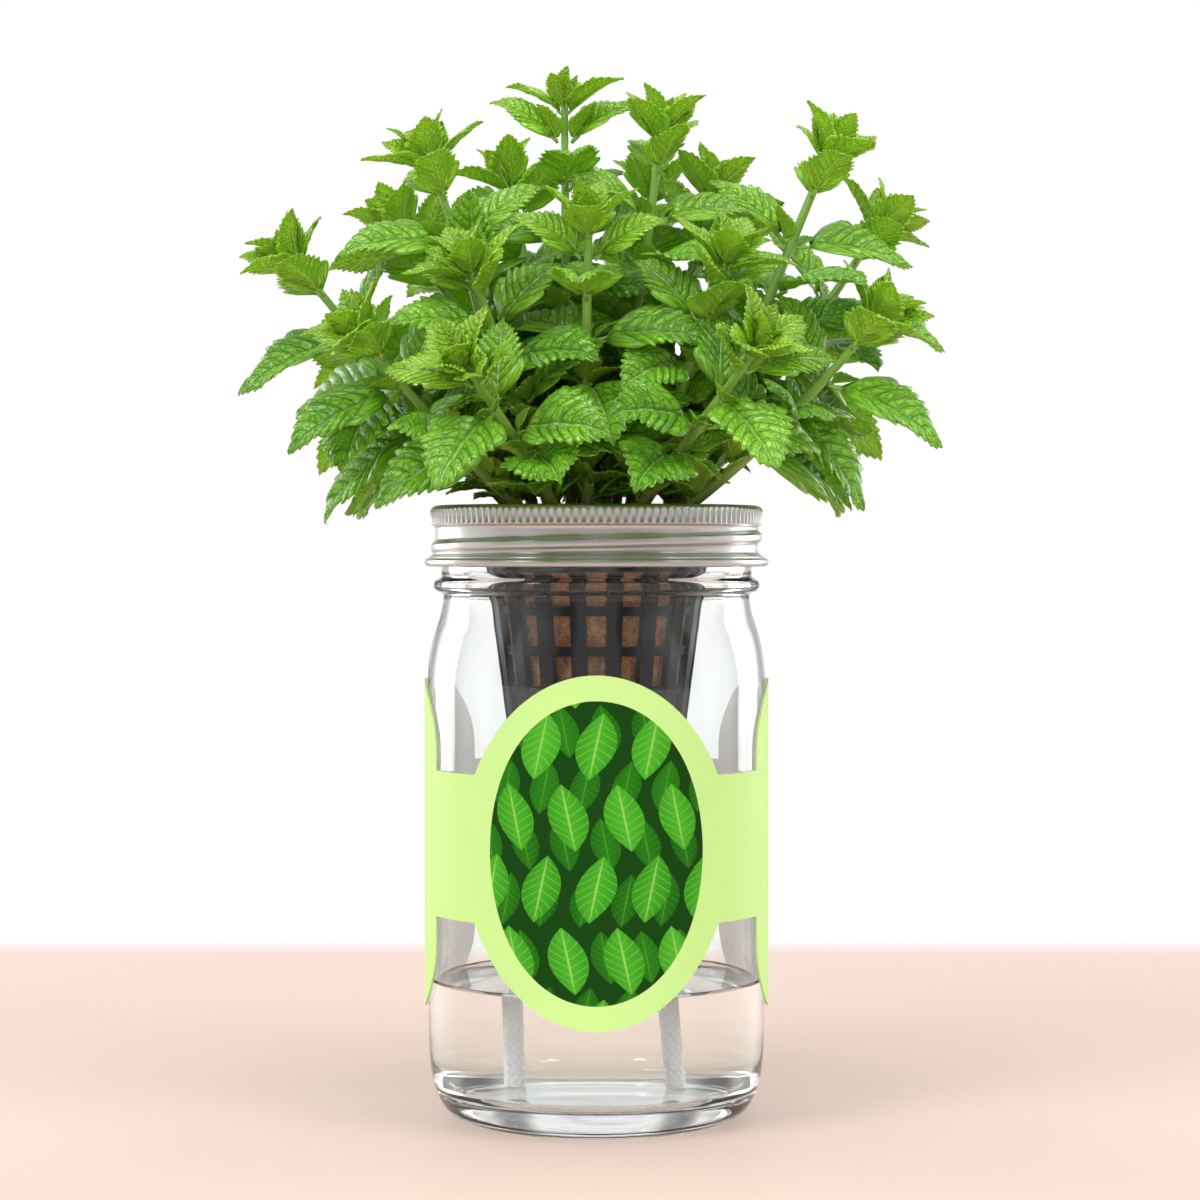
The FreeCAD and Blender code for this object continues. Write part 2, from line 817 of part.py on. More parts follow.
# Blade by its sections from the stem to the tip: place, half width, fold of the halves, gauge
bladeShares = [
    (0.0, 0.028, 0.0, 1.0),
    (0.12, 0.05, 0.25, 1.0),
    (0.26, 0.25, 0.36, 1.0),
    (0.5, 0.32, 0.42, 0.9),
    (0.8, 0.19, 0.36, 0.7),
]
bladeDroopShare = 0.24
bladeTipShare = 0.97
# How much a blade's face turns to the sky, to the near side, outwards and along its stem
skyShare, nearShare, outShare, stemShare = 0.62, 0.5, 0.4, 0.2
# Shoots that stand further back than this share of the reach turn their leaves to the back
backShare = 0.125
# The pairs crowd together at the tip, and the lowest leaves this share of the stem bare
crowding = 1.15
leafyShare, shortLeafyShare = 0.86, 0.74
fewPairs = 5
topPairShare = 0.985
# How far a leaf may hang beside the band
hangShare = 0.06
# What is tried in turn for a leaf that crosses another: its length, then lift and turn in degrees
shorterShares = (1, 0.85, 0.7, 0.55, 0.42, 0.3, 0.2)
liftsTried = (0, 14, -12, 28, -24, 42, 56)
turnsTried = (0, 16, -16, 32, -32, 46, -46)
stemRings = 7
sewShare = 0.001
skyward = FreeCAD.Vector(0, 0, 1)


def along(route, share):
    """Place and heading on the cubic curve from a stem's foot to its tip, drawn to its bends."""
    rest = 1 - share
    foot, low, high, tip = route
    place = foot * rest**3 + low * (3 * rest**2 * share) + high * (3 * rest * share**2) + tip * share**3
    heading = (low - foot) * rest**2 + (high - low) * (2 * rest * share) + (tip - high) * share**2
    return place, heading.normalize()


def squareFrame(heading, turn):
    """Two directions square to a stem's heading, the first turned about it from the right."""
    across = FreeCAD.Vector(math.cos(turn), math.sin(turn), 0)
    across = (across - heading * across.dot(heading)).normalize()
    return across, heading.cross(across)


def stemWidthAt(share):
    return plain(shareOf(size("stemFootWidth"), size("stemTipWidth"), share))


def stemFacets(route, turn):
    points = []
    for ring in range(stemRings):
        share = ring / (stemRings - 1)
        place, heading = along(route, share)
        across, beside = squareFrame(skyward if ring == 0 else heading, turn)
        half = stemWidthAt(share) / 2
        for left, front in ((1, 1), (-1, 1), (-1, -1), (1, -1)):
            points.append(place + across * (half * left) + beside * (half * front))
    triangles = [(0, 2, 1), (0, 3, 2)]
    for ring in range(stemRings - 1):
        for corner in range(4):
            a, b = 4 * ring + corner, 4 * ring + (corner + 1) % 4
            triangles += [(a, b, b + 4), (a, b + 4, a + 4)]
    last = 4 * (stemRings - 1)
    triangles += [(last, last + 1, last + 2), (last, last + 2, last + 3)]
    return Facets(points, triangles)


def leafFacets(stemSpot, heading, outward, lift, length, half):
    """One blade: a folded, drooping leaf on a short stalk, thickest along its middle vein."""
    reach = (outward * math.cos(lift) + heading * math.sin(lift)).normalize()
    plantReach = plain(size("plantReach"))
    near = FreeCAD.Vector(0, -1 if stemSpot.y < plantReach * backShare else 1, 0)
    out = FreeCAD.Vector(stemSpot.x, stemSpot.y, 0) / plantReach
    face = skyward * skyShare + near * nearShare + out * outShare + heading * stemShare
    face = (face - reach * face.dot(reach)).normalize()
    side = reach.cross(face)
    gauge = plain(size("leafGauge"))
    seat = half + plain(size("leafSeatGap")) + (gauge + bladeShares[0][1] * length) * abs(math.sin(lift)) / 2
    base = stemSpot + outward * seat
    points = []
    for place, width, fold, thick in bladeShares:
        middle = base + reach * (length * place) - skyward * (bladeDroopShare * length * place * place)
        rise = face * math.sin(fold) * width * length
        spread = side * math.cos(fold) * width * length
        points += [middle - spread + rise, middle, middle + spread + rise, middle - face * (gauge * thick)]
    points.append(base + reach * (length * bladeTipShare) - skyward * (bladeDroopShare * length))
    triangles = [(0, 1, 3), (1, 2, 3)]
    sides = ((0, 1), (1, 2), (2, 3), (3, 0))
    last = 4 * (len(bladeShares) - 1)
    for first in range(0, last, 4):
        for a, b in sides:
            low, high = first + a, first + b
            triangles += [(low, low + 4, high), (high, low + 4, high + 4)]
    for a, b in sides:
        triangles.append((last + a, last + 4, last + b))
    return Facets(points, triangles)


def clearOfBand(leaf):
    """Whether a leaf stays above the band, which turns below the plant, or hangs a little way beside it."""
    gap = plain(size("leafBandGap"))
    reach, top = plain(size("curlReach")) + gap, plain(bandTop) + gap
    lowest = top - plain(size("plantReach")) * hangShare
    spots = leaf.points + [(leaf.points[a] + leaf.points[b]) / 2 for a, b in leaf.edges]
    return all(spot.z > top or (abs(spot.x) > reach and spot.z > lowest) for spot in spots)


def growShoots():
    """Facets of every stem and leaf, each leaf turned, lifted or shortened until it clears the rest."""
    reach = plain(size("plantReach"))
    height = reach * heightShare
    foot = plain(plugTop)
    routes = []
    for row in shootShares:
        routes.append([FreeCAD.Vector(x * reach, y * reach, foot + z * height) for x, y, z in row[:4]])
    stems = [stemFacets(route, math.radians(row[4])) for route, row in zip(routes, shootShares)]
    grown = [[] for row in shootShares]
    placed = []
    for order in range(len(leafLengthShares)):
        for shoot, (route, row) in enumerate(zip(routes, shootShares)):
            pairs = row[5]
            if order >= pairs:
                continue
            leafy = leafyShare if pairs > fewPairs else shortLeafyShare
            share = 1 - (order / pairs) ** crowding * leafy
            spot, heading = along(route, min(share, topPairShare))
            for side in (0, 180):
                turn = row[4] + 90 * order + side
                leaf = placedLeaf(spot, heading, turn, order, stemWidthAt(share) / 2, placed + stems)
                placed.append(leaf)
                grown[shoot].append(leaf)
    return stems, grown


def placedLeaf(spot, heading, turn, order, half, others):
    """The first of the tried leaves that clears the band and all others."""
    for shorter in shorterShares:
        length = plain(size("plantReach")) * leafShare * leafLengthShares[order] * shorter
        for lifted in liftsTried:
            for turned in turnsTried:
                outward = squareFrame(heading, math.radians(turn + turned))[0]
                lift = math.radians(leafLifts[order] + lifted)
                flank = half / math.cos(math.radians(turned))
                leaf = leafFacets(spot, heading, outward, lift, length, flank)
                if clearOfBand(leaf) and not any(leaf.crosses(other) for other in others):
                    return leaf
    raise RuntimeError("no free place for a leaf at %s" % spot)


def makePlant():
    stems, grown = growShoots()
    pieces = []
    for number, (stem, leaves) in enumerate(zip(stems, grown), start=1):
        for word, shapes in (("stem", [stem]), ("leaves", leaves)):
            piece = doc.addObject("Part::Feature", "shoot_%02d_%s" % (number, word))
            solids = [shape.solid() for shape in shapes]
            piece.Shape = solids[0] if len(solids) == 1 else Part.makeCompound(solids)
            pieces.append(piece)
    return pieces


pieces = [makeGlassJar(), makeScrewBand(), makeLidInsert(), drilledPot(makeNetPot()), makeCoirPlug()]
pieces += [makeWick(label) for label in wickShares]
pieces += [makeWater(), makeSleeve()]
pieces += makePlant()
doc.recompute()

for thing in doc.Objects:
    if "Invalid" in thing.State or "Error" in thing.State:
        raise RuntimeError("%s failed" % thing.Label)
for piece in pieces:
    if piece.Shape.isNull() or not piece.Shape.isValid():
        raise RuntimeError("%s has no sound shape" % piece.Label)

os.makedirs("parts", exist_ok=True)
for piece in pieces:
    piece.Shape.exportStep("parts/%s.step" % piece.Label)
print("pieces", len(pieces))
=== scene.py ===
import math
import random
from functools import partial

import bpy
import numpy as np
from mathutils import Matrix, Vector


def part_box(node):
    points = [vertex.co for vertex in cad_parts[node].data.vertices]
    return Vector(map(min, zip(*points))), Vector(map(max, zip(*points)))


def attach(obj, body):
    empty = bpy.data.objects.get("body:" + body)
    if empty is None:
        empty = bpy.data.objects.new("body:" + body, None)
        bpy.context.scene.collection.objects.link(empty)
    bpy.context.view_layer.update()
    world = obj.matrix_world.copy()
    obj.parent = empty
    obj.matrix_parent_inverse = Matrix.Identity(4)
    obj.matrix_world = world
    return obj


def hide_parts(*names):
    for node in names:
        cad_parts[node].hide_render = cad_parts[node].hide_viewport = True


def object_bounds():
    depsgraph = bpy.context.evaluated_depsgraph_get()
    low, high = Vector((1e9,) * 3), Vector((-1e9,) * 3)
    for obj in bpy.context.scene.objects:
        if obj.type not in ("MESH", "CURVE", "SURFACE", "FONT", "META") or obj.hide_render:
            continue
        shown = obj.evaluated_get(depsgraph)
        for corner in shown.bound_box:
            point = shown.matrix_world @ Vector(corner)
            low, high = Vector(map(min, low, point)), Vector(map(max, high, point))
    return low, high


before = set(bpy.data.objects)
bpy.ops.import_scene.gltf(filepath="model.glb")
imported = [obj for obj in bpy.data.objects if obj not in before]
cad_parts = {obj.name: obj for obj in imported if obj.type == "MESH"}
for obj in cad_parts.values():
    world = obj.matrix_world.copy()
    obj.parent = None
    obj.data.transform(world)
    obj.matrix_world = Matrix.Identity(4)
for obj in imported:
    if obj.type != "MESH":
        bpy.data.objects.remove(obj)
cadBox = [list(corner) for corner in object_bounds()]
mm = 0.001
print("frame loaded:", len(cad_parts), "nodes")


# Helpers for node trees

# A web colour as the linear colour that a shader takes
def linear(code):
    parts = [int(code[place : place + 2], 16) / 255 for place in (1, 3, 5)]
    return (*[part / 12.92 if part <= 0.04045 else ((part + 0.055) / 1.055) ** 2.4 for part in parts], 1.0)


# Sets or links a node's inputs, by name or by place
def fill(node, values):
    for word, value in values.items():
        if isinstance(value, bpy.types.NodeSocket):
            node.id_data.links.new(value, node.inputs[word])
        else:
            node.inputs[word].default_value = linear(value) if isinstance(value, str) else value


# A new node with its first inputs in order, more of them by name, and its own settings
def addNode(tree, kind, *inputs, more=None, **settings):
    node = tree.nodes.new(kind)
    for name, value in settings.items():
        setattr(node, name, value)
    fill(node, dict(enumerate(inputs)))
    fill(node, more or {})
    return node


def newMaterial(name, finish):
    material = bpy.data.materials.new(name)
    material.use_nodes = True
    shader = material.node_tree.nodes["Principled BSDF"]
    fill(shader, finish)
    return material, material.node_tree, shader


def maths(tree, operation, *values):
    return addNode(tree, "ShaderNodeMath", *values, operation=operation).outputs[0]


def mixed(tree, factor, first, second):
    node = addNode(tree, "ShaderNodeMix", factor, data_type="RGBA", more={"A": first, "B": second})
    return node.outputs["Result"]


# A colour that goes from one tone to another as a value rises, through more between them
def tones(tree, value, first, last, *between):
    ramp = addNode(tree, "ShaderNodeValToRGB", value)
    elements = ramp.color_ramp.elements
    for element, (place, code) in zip(elements, (first, last)):
        element.position, element.color = place, linear(code)
    for place, code in between:
        elements.new(place).color = linear(code)
    return ramp.outputs["Color"]


# A value between two levels, as a number between two others
def ranged(tree, value, low, high, first=0.0, last=1.0, kind="SMOOTHSTEP"):
    limits = (low, high, first, last)
    return addNode(tree, "ShaderNodeMapRange", value, *limits, interpolation_type=kind).outputs[0]


def noise(tree, place, scale, detail=2.0, roughness=0.5):
    sizes = {"Scale": scale, "Detail": detail, "Roughness": roughness}
    return addNode(tree, "ShaderNodeTexNoise", place, more=sizes).outputs["Fac"]


def objectPlace(tree):
    return addNode(tree, "ShaderNodeTexCoord").outputs["Object"]


# A place's three parts, and a place of three parts
def parted(tree, place):
    return addNode(tree, "ShaderNodeSeparateXYZ", place).outputs


def joined(tree, *parts):
    return addNode(tree, "ShaderNodeCombineXYZ", *parts).outputs[0]


# Fine relief on a surface: its strength, and its depth in millimetres where the height is 1
def relief(tree, shader, height, strength, depth, invert=False):
    sizes = {"Strength": strength, "Distance": depth * mm, "Height": height}
    fill(shader, {"Normal": addNode(tree, "ShaderNodeBump", more=sizes, invert=invert).outputs[0]})


# Camera, light and table

studio = {
    "cameraPlace": (0.00098, -0.863, 0.1596), "cameraDip": 0.97, "lens": 92.5, "sensor": 36,
    "lampAim": (0, 0, 0.16),
    "skyLevel": 0.56,  # the light that the tent gives
    "seamCount": 8.0, "seamWidth": (0.35, 1.0), "seamShade": 0.32,  # its grey seams, for metal and glass
    "nearReach": (0.35, 0.8), "nearShade": 0.42,  # its side behind the camera, where it is mirrored
    "floorColour": "#e0c7bb", "floorRoughness": 0.6, "floorHalf": 12.0, "floorBack": 0.4,
    "floorFade": (0.34, 0.39), "floorReach": (0.9, 2.2),  # metres behind the jar, and all round it
    "lamps": [  # name, place, width, height, power, and whether glass and metal mirror it
        ("keyLamp", (-0.8, -0.8, 1.25), 0.5, 0.5, 7.2, True),
        ("fillLamp", (0.8, -0.65, 1.35), 0.5, 0.5, 4.8, True),
        ("frontLamp", (0.0, -1.25, 0.2), 0.9, 0.5, 3.4, False),
        ("topLamp", (0.0, -0.25, 1.3), 0.8, 0.8, 6.0, True),
        ("backLeftLamp", (-0.95, 0.7, 0.32), 0.5, 0.8, 5.5, True),
        ("backRightLamp", (0.95, 0.7, 0.32), 0.5, 0.8, 5.5, True),
    ],
}


# 1 for what is seen straight, mirrored or through glass and 0 for light, and the ray's facts
def seenRays(tree):
    rays = addNode(tree, "ShaderNodeLightPath").outputs
    seen = maths(tree, "MAXIMUM", rays["Is Camera Ray"], rays["Is Glossy Ray"])
    return maths(tree, "MAXIMUM", seen, rays["Is Transmission Ray"]), rays


# A white tent. Metal and glass also see its grey seams, evenly spaced round the table
def makeWorld():
    world = bpy.data.worlds.new("whiteStudio")
    bpy.context.scene.world = world
    world.use_nodes = True
    tree = world.node_tree
    tree.nodes.clear()
    do = partial(maths, tree)
    seen, rays = seenRays(tree)
    way = parted(tree, addNode(tree, "ShaderNodeTexCoord").outputs["Generated"])
    wave = do("COSINE", do("MULTIPLY_ADD", do("ARCTAN2", way[1], way[0]), studio["seamCount"], math.pi))
    seam = ranged(tree, wave, *studio["seamWidth"], 1.0, studio["seamShade"])
    near = ranged(tree, do("MULTIPLY", way[1], -1.0), *studio["nearReach"], 1.0, studio["nearShade"])
    near = do("MULTIPLY_ADD", do("SUBTRACT", near, 1.0), rays["Is Glossy Ray"], 1.0)
    level = do("MAXIMUM", do("MULTIPLY", seam, near), rays["Is Camera Ray"])
    sky = addNode(tree, "ShaderNodeBackground", "#ffffff", studio["skyLevel"])
    tent = addNode(tree, "ShaderNodeBackground", "#ffffff", level)
    both = addNode(tree, "ShaderNodeMixShader", seen, sky.outputs[0], tent.outputs[0])
    addNode(tree, "ShaderNodeOutputWorld", both.outputs[0])


# A pale table top whose far edge fades into the white
def makeTable():
    half, back = studio["floorHalf"], studio["floorBack"]
    mesh = bpy.data.meshes.new("tableTop")
    corners = [(-half, -half, 0), (half, -half, 0), (half, back, 0), (-half, back, 0)]
    mesh.from_pydata(corners, [], [(0, 1, 2, 3)])
    table = bpy.data.objects.new("tableTop", mesh)
    bpy.context.collection.objects.link(table)
    finish = {"Base Color": studio["floorColour"], "Roughness": studio["floorRoughness"]}
    material, tree, shader = newMaterial("paleTable", finish)
    place = objectPlace(tree)
    behind = parted(tree, place)[1]
    away = addNode(tree, "ShaderNodeVectorMath", place, operation="LENGTH").outputs["Value"]
    fades = [ranged(tree, behind, *studio["floorFade"]), ranged(tree, away, *studio["floorReach"])]
    fade = maths(tree, "MULTIPLY", maths(tree, "MAXIMUM", *fades), seenRays(tree)[0])
    white = addNode(tree, "ShaderNodeEmission", "#ffffff", 1.0)
    both = addNode(tree, "ShaderNodeMixShader", fade, shader.outputs[0], white.outputs[0])
    fill(tree.nodes["Material Output"], {"Surface": both.outputs[0]})
    mesh.materials.append(material)


def makeStudio():
    camera = bpy.data.objects.new("camera", bpy.data.cameras.new("camera"))
    camera.data.lens = studio["lens"]
    camera.data.sensor_width = studio["sensor"]
    camera.location = studio["cameraPlace"]
    camera.rotation_euler = (math.radians(90 - studio["cameraDip"]), 0, 0)
    bpy.context.collection.objects.link(camera)
    bpy.context.scene.camera = camera
    for name, place, width, height, power, isMirrored in studio["lamps"]:
        lamp = bpy.data.objects.new(name, bpy.data.lights.new(name, "AREA"))
        lamp.data.shape = "RECTANGLE"
        lamp.data.size, lamp.data.size_y = width, height
        lamp.data.energy = power
        lamp.visible_glossy = lamp.visible_transmission = isMirrored
        lamp.location = place
        aim = Vector(studio["lampAim"]) - Vector(place)
        lamp.rotation_euler = aim.to_track_quat("-Z", "Y").to_euler()
        bpy.context.collection.objects.link(lamp)
    bpy.context.scene.view_settings.view_transform = "Standard"
    makeTable()
    makeWorld()


makeStudio()
print("studio built")


# Helpers for meshes

# A mesh piece in the CAD's frame that rides on a body and stands for CAD nodes
def newPiece(name, points, faces, material, body, slot, *nodes):
    mesh = bpy.data.meshes.new(name)
    mesh.from_pydata([tuple(point) for point in points], [], faces)
    mesh.materials.append(material)
    mesh.shade_smooth()
    piece = bpy.data.objects.new(name, mesh)
    bpy.context.collection.objects.link(piece)
    return settle(piece, body, slot, *nodes)


def settle(piece, body, slot, *nodes):
    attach(piece, body)
    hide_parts(*nodes)
    return piece


# Points and faces of a profile of (radius, height) in millimetres turned about the axis.
# A profile that starts and ends on the axis gives a closed shell, and any other is joined end to start
def turnedRows(profile, segments):
    onAxis = profile[0][0] == 0
    points, rows = [], []
    for radius, height in profile:
        if radius == 0:
            rows.append([len(points)] * segments)
            points.append((0, 0, height * mm))
            continue
        rows.append(list(range(len(points), len(points) + segments)))
        for step in range(segments):
            turn = 2 * math.pi * step / segments
            points.append((radius * mm * math.cos(turn), radius * mm * math.sin(turn), height * mm))
    faces = []
    pairs = zip(rows, rows[1:]) if onAxis else zip(rows, rows[1:] + rows[:1])
    for low, high in pairs:
        for step in range(segments):
            after = (step + 1) % segments
            corners = [low[step], low[after], high[after], high[step]]
            face = [corner for place, corner in enumerate(corners) if corner not in corners[:place]]
            if len(face) > 2:
                faces.append(face)
    return points, faces


# Points of a smooth curve through all the given ones, with a few steps between neighbours
def smoothLine(points, steps):
    spots = np.array(points, float)
    padded = np.vstack([2 * spots[0] - spots[1], spots, 2 * spots[-1] - spots[-2]])

    def between(first, second, low, high):
        return first + (second - first) * ((at - low) / (high - low))

    line = []
    for four in zip(padded, padded[1:], padded[2:], padded[3:]):
        knots = np.r_[0, np.cumsum([np.linalg.norm(b - a) ** 0.5 for a, b in zip(four, four[1:])])]
        for step in range(steps):
            at = knots[1] + (knots[2] - knots[1]) * step / steps
            thirds = [between(four[n], four[n + 1], knots[n], knots[n + 1]) for n in range(3)]
            halves = [between(thirds[n], thirds[n + 1], knots[n], knots[n + 2]) for n in range(2)]
            line.append(between(*halves, knots[1], knots[2]))
    return np.array(line + [spots[-1]])


# A UV map, from one place on the print or the leaf for each point
def printed(mesh, name, places):
    layer = mesh.uv_layers.new(name=name)
    corners = np.empty(len(mesh.loops), np.int32)
    mesh.loops.foreach_get("vertex_index", corners)
    layer.data.foreach_set("uv", np.array(places, np.float32)[corners].ravel())


# An empty Geometry Nodes tree with a named input for each size, and the inputs' sockets by name
def nodeShape(name, sizes):
    tree = bpy.data.node_groups.new(name, "GeometryNodeTree")
    tree.interface.new_socket(name="Geometry", in_out="INPUT", socket_type="NodeSocketGeometry")
    tree.interface.new_socket(name="Geometry", in_out="OUTPUT", socket_type="NodeSocketGeometry")
    for word in sizes:
        tree.interface.new_socket(name=word, in_out="INPUT", socket_type="NodeSocketFloat")
    given = tree.nodes.new("NodeGroupInput").outputs
    return tree, given["Geometry"], {word: given[word] for word in sizes}


# Runs a tree on a piece with these sizes, and keeps the result as the piece's own plain mesh
def shapedBy(piece, tree, sizes):
    shaping = piece.modifiers.new("shape", "NODES")
    shaping.node_group = tree
    for item in tree.interface.items_tree:
        if item.in_out == "INPUT" and item.name in sizes:
            shaping[item.identifier] = float(sizes[item.name])
    shown = piece.evaluated_get(bpy.context.evaluated_depsgraph_get())
    plain = bpy.data.meshes.new_from_object(shown)
    piece.modifiers.clear()
    piece.data = plain


# Screw thread and knurls, which the jar and the band share

threadSizes = {
    "pitch": 6.35, "start": 156.4, "turns": 1.15, "runOut": 0.06,
    "knurlCount": 0, "knurlDepth": 0, "knurlLow": 0, "knurlHigh": 0, "knurlInside": 0,  # none on the jar
}


# Pushes a turned wall out along a rising thread and in at the flutes of a knurl, by named sizes
def threadedShape(material, sizes):
    tree, geometry, given = nodeShape("threadAndKnurls", sizes)
    do = partial(maths, tree)
    place = addNode(tree, "GeometryNodeInputPosition").outputs[0]
    across, back, height = parted(tree, place)
    height = do("DIVIDE", height, mm)
    radius = do("SQRT", do("MULTIPLY_ADD", across, across, do("MULTIPLY", back, back)))
    radius = do("DIVIDE", radius, mm)
    angle = do("ARCTAN2", back, across)
    turn = do("FLOORED_MODULO", do("DIVIDE", angle, 2 * math.pi), 1.0)

    def isInside(word):  # between two heights, on the outer skin
        low, high, inside = (given[word + end] for end in ("Low", "High", "Inside"))
        isBetween = do("MULTIPLY", do("GREATER_THAN", height, low), do("LESS_THAN", height, high))
        return do("MULTIPLY", isBetween, do("GREATER_THAN", radius, inside))

    lobes = []
    for lap in (0, 1):
        gone = do("ADD", turn, float(lap))
        middle = do("MULTIPLY_ADD", gone, given["pitch"], given["start"])
        off = do("ABSOLUTE", do("SUBTRACT", height, middle))
        outer = do("DIVIDE", given["threadFoot"], 2.0)
        inner = do("DIVIDE", given["threadCrest"], 2.0)
        lobe = do("SUBTRACT", 1.0, ranged(tree, off, inner, outer))
        begin = ranged(tree, gone, 0.0, given["runOut"])
        end = ranged(tree, do("SUBTRACT", given["turns"], gone), 0.0, given["runOut"])
        lobes.append(do("MULTIPLY", lobe, do("MULTIPLY", begin, end)))
    thread = do("MULTIPLY", do("MAXIMUM", *lobes), given["threadProud"])
    thread = do("MULTIPLY", thread, isInside("thread"))
    wave = do("COSINE", do("MULTIPLY", angle, given["knurlCount"]))
    flute = do("MULTIPLY", do("SUBTRACT", wave, 1.0), do("DIVIDE", given["knurlDepth"], 2.0))
    flute = do("MULTIPLY", flute, isInside("knurl"))
    push = do("DIVIDE", do("ADD", thread, flute), radius)
    move = joined(tree, do("MULTIPLY", across, push), do("MULTIPLY", back, push), 0.0)
    moved = addNode(tree, "GeometryNodeSetPosition", geometry, more={"Offset": move})
    solid = addNode(tree, "GeometryNodeRealizeInstances", moved.outputs[0])
    painted = addNode(tree, "GeometryNodeSetMaterial", solid.outputs[0], more={"Material": material})
    addNode(tree, "NodeGroupOutput", painted.outputs[0])
    return tree


# Glass jar and water

jarSizes = {
    "segments": 192,
    "outside": [
        (0, 3.0), (12, 2.9), (22, 2.6), (27.5, 1.7), (30.5, 0.45), (33.2, 0.0), (36.2, 0.25), (39.2, 1.25),
        (41.9, 2.9), (43.9, 5.9), (45.3, 9.4), (46.2, 13.2), (46.75, 18.5), (46.95, 26), (47.15, 45),
        (47.3, 75), (47.3, 108), (47.3, 121.5), (47.15, 125.5), (46.6, 130), (45.6, 134.5), (44.35, 138.6),
        (43.35, 142.2), (42.85, 145.4), (43.2, 146.9), (44.7, 147.5), (45.5, 148.5), (45.6, 149.4),
        (45.3, 150.4), (44.4, 151.0), (43.5, 151.5),
    ],
    "finish": (43.4, 153.0, 168.9), "finishRings": 35,  # the threaded wall: its radius, foot and top
    "rim": [(43.3, 169.6), (42.8, 170.1), (42.1, 170.3), (41.2, 170.3), (40.4, 170.1), (39.9, 169.5)],
    "inside": [
        (39.8, 160), (39.8, 147), (40.0, 143.5), (40.8, 139.8), (42.2, 135.4), (43.4, 130.6), (44.1, 126),
        (44.3, 121.5), (44.3, 80), (44.2, 40), (44.0, 24), (43.2, 18.0), (41.2, 13.0), (37.8, 10.0),
        (33.0, 8.75), (26.0, 8.8), (17.0, 9.2), (8.0, 9.5), (0, 9.6),
    ],
    "smoothing": 3,
    "glass": {"tint": "#fcfefd", "bend": 1.5, "ripple": 0.16},
    "thread": {
        **threadSizes, "threadFoot": 3.4, "threadCrest": 0.9, "threadProud": 2.0,
        "threadInside": 42.0, "threadLow": 153.0, "threadHigh": 169.0,
    },
}
waterSizes = {
    "segments": 128,
    "wall": [  # a little inside the glass, so that no air shows between them
        (0, 9.4), (8, 9.3), (17, 9.0), (26.0, 8.6), (33.0, 8.55), (37.8, 9.8), (41.4, 12.85),
        (43.35, 17.95), (44.2, 24), (44.4, 38.6), (44.45, 40.15),
    ],
    "surface": [(43.7, 39.5), (42.7, 39.1), (41.0, 38.85), (38, 38.8), (0, 38.8)],  # it rises at the glass
    "water": {"tint": "#feffff", "bend": 1.33, "ripple": 0.03},
}
clearFinish = {"shine": 0.2, "rippleSize": 55.0, "rippleDepth": 0.6}


# Clear glass or water that lets the lamps' light through to what stands behind it
def clearMaterial(name, tint, bend, ripple):
    finish = {"Base Color": tint, "Transmission Weight": 1.0, "Roughness": 0.0, "IOR": bend}
    material, tree, shader = newMaterial(name, {**finish, "Specular IOR Level": clearFinish["shine"]})
    waves = noise(tree, objectPlace(tree), clearFinish["rippleSize"], 1.0)
    relief(tree, shader, waves, ripple, clearFinish["rippleDepth"])
    isShadow = addNode(tree, "ShaderNodeLightPath").outputs["Is Shadow Ray"]
    clear = addNode(tree, "ShaderNodeBsdfTransparent", tint)
    both = addNode(tree, "ShaderNodeMixShader", isShadow, shader.outputs[0], clear.outputs[0])
    fill(tree.nodes["Material Output"], {"Surface": both.outputs[0]})
    return material


def makeJar():
    glass = clearMaterial("jarGlass", **jarSizes["glass"])
    radius, low, high = jarSizes["finish"]
    rings = jarSizes["finishRings"]
    finish = [(radius, low + (high - low) * ring / rings) for ring in range(rings + 1)]
    outside = smoothLine(jarSizes["outside"], jarSizes["smoothing"]).tolist()
    inside = smoothLine(jarSizes["inside"], jarSizes["smoothing"]).tolist()
    outside[0][0] = inside[-1][0] = 0
    points, faces = turnedRows(outside + finish + jarSizes["rim"] + inside, jarSizes["segments"])
    jar = newPiece("glassJar", points, faces, glass, "jar", "jar_glass", "glass_jar")
    shapedBy(jar, threadedShape(glass, jarSizes["thread"]), jarSizes["thread"])


def makeWater():
    water = clearMaterial("clearWater", **waterSizes["water"])
    outline = smoothLine(waterSizes["wall"], jarSizes["smoothing"]).tolist() + waterSizes["surface"]
    outline[0][0] = 0
    points, faces = turnedRows(outline, waterSizes["segments"])
    newPiece("nutrientWater", points, faces, water, "jar", "nutrient_water", "nutrient_water")


makeJar()
makeWater()
print("jar and water built")


# Screw band

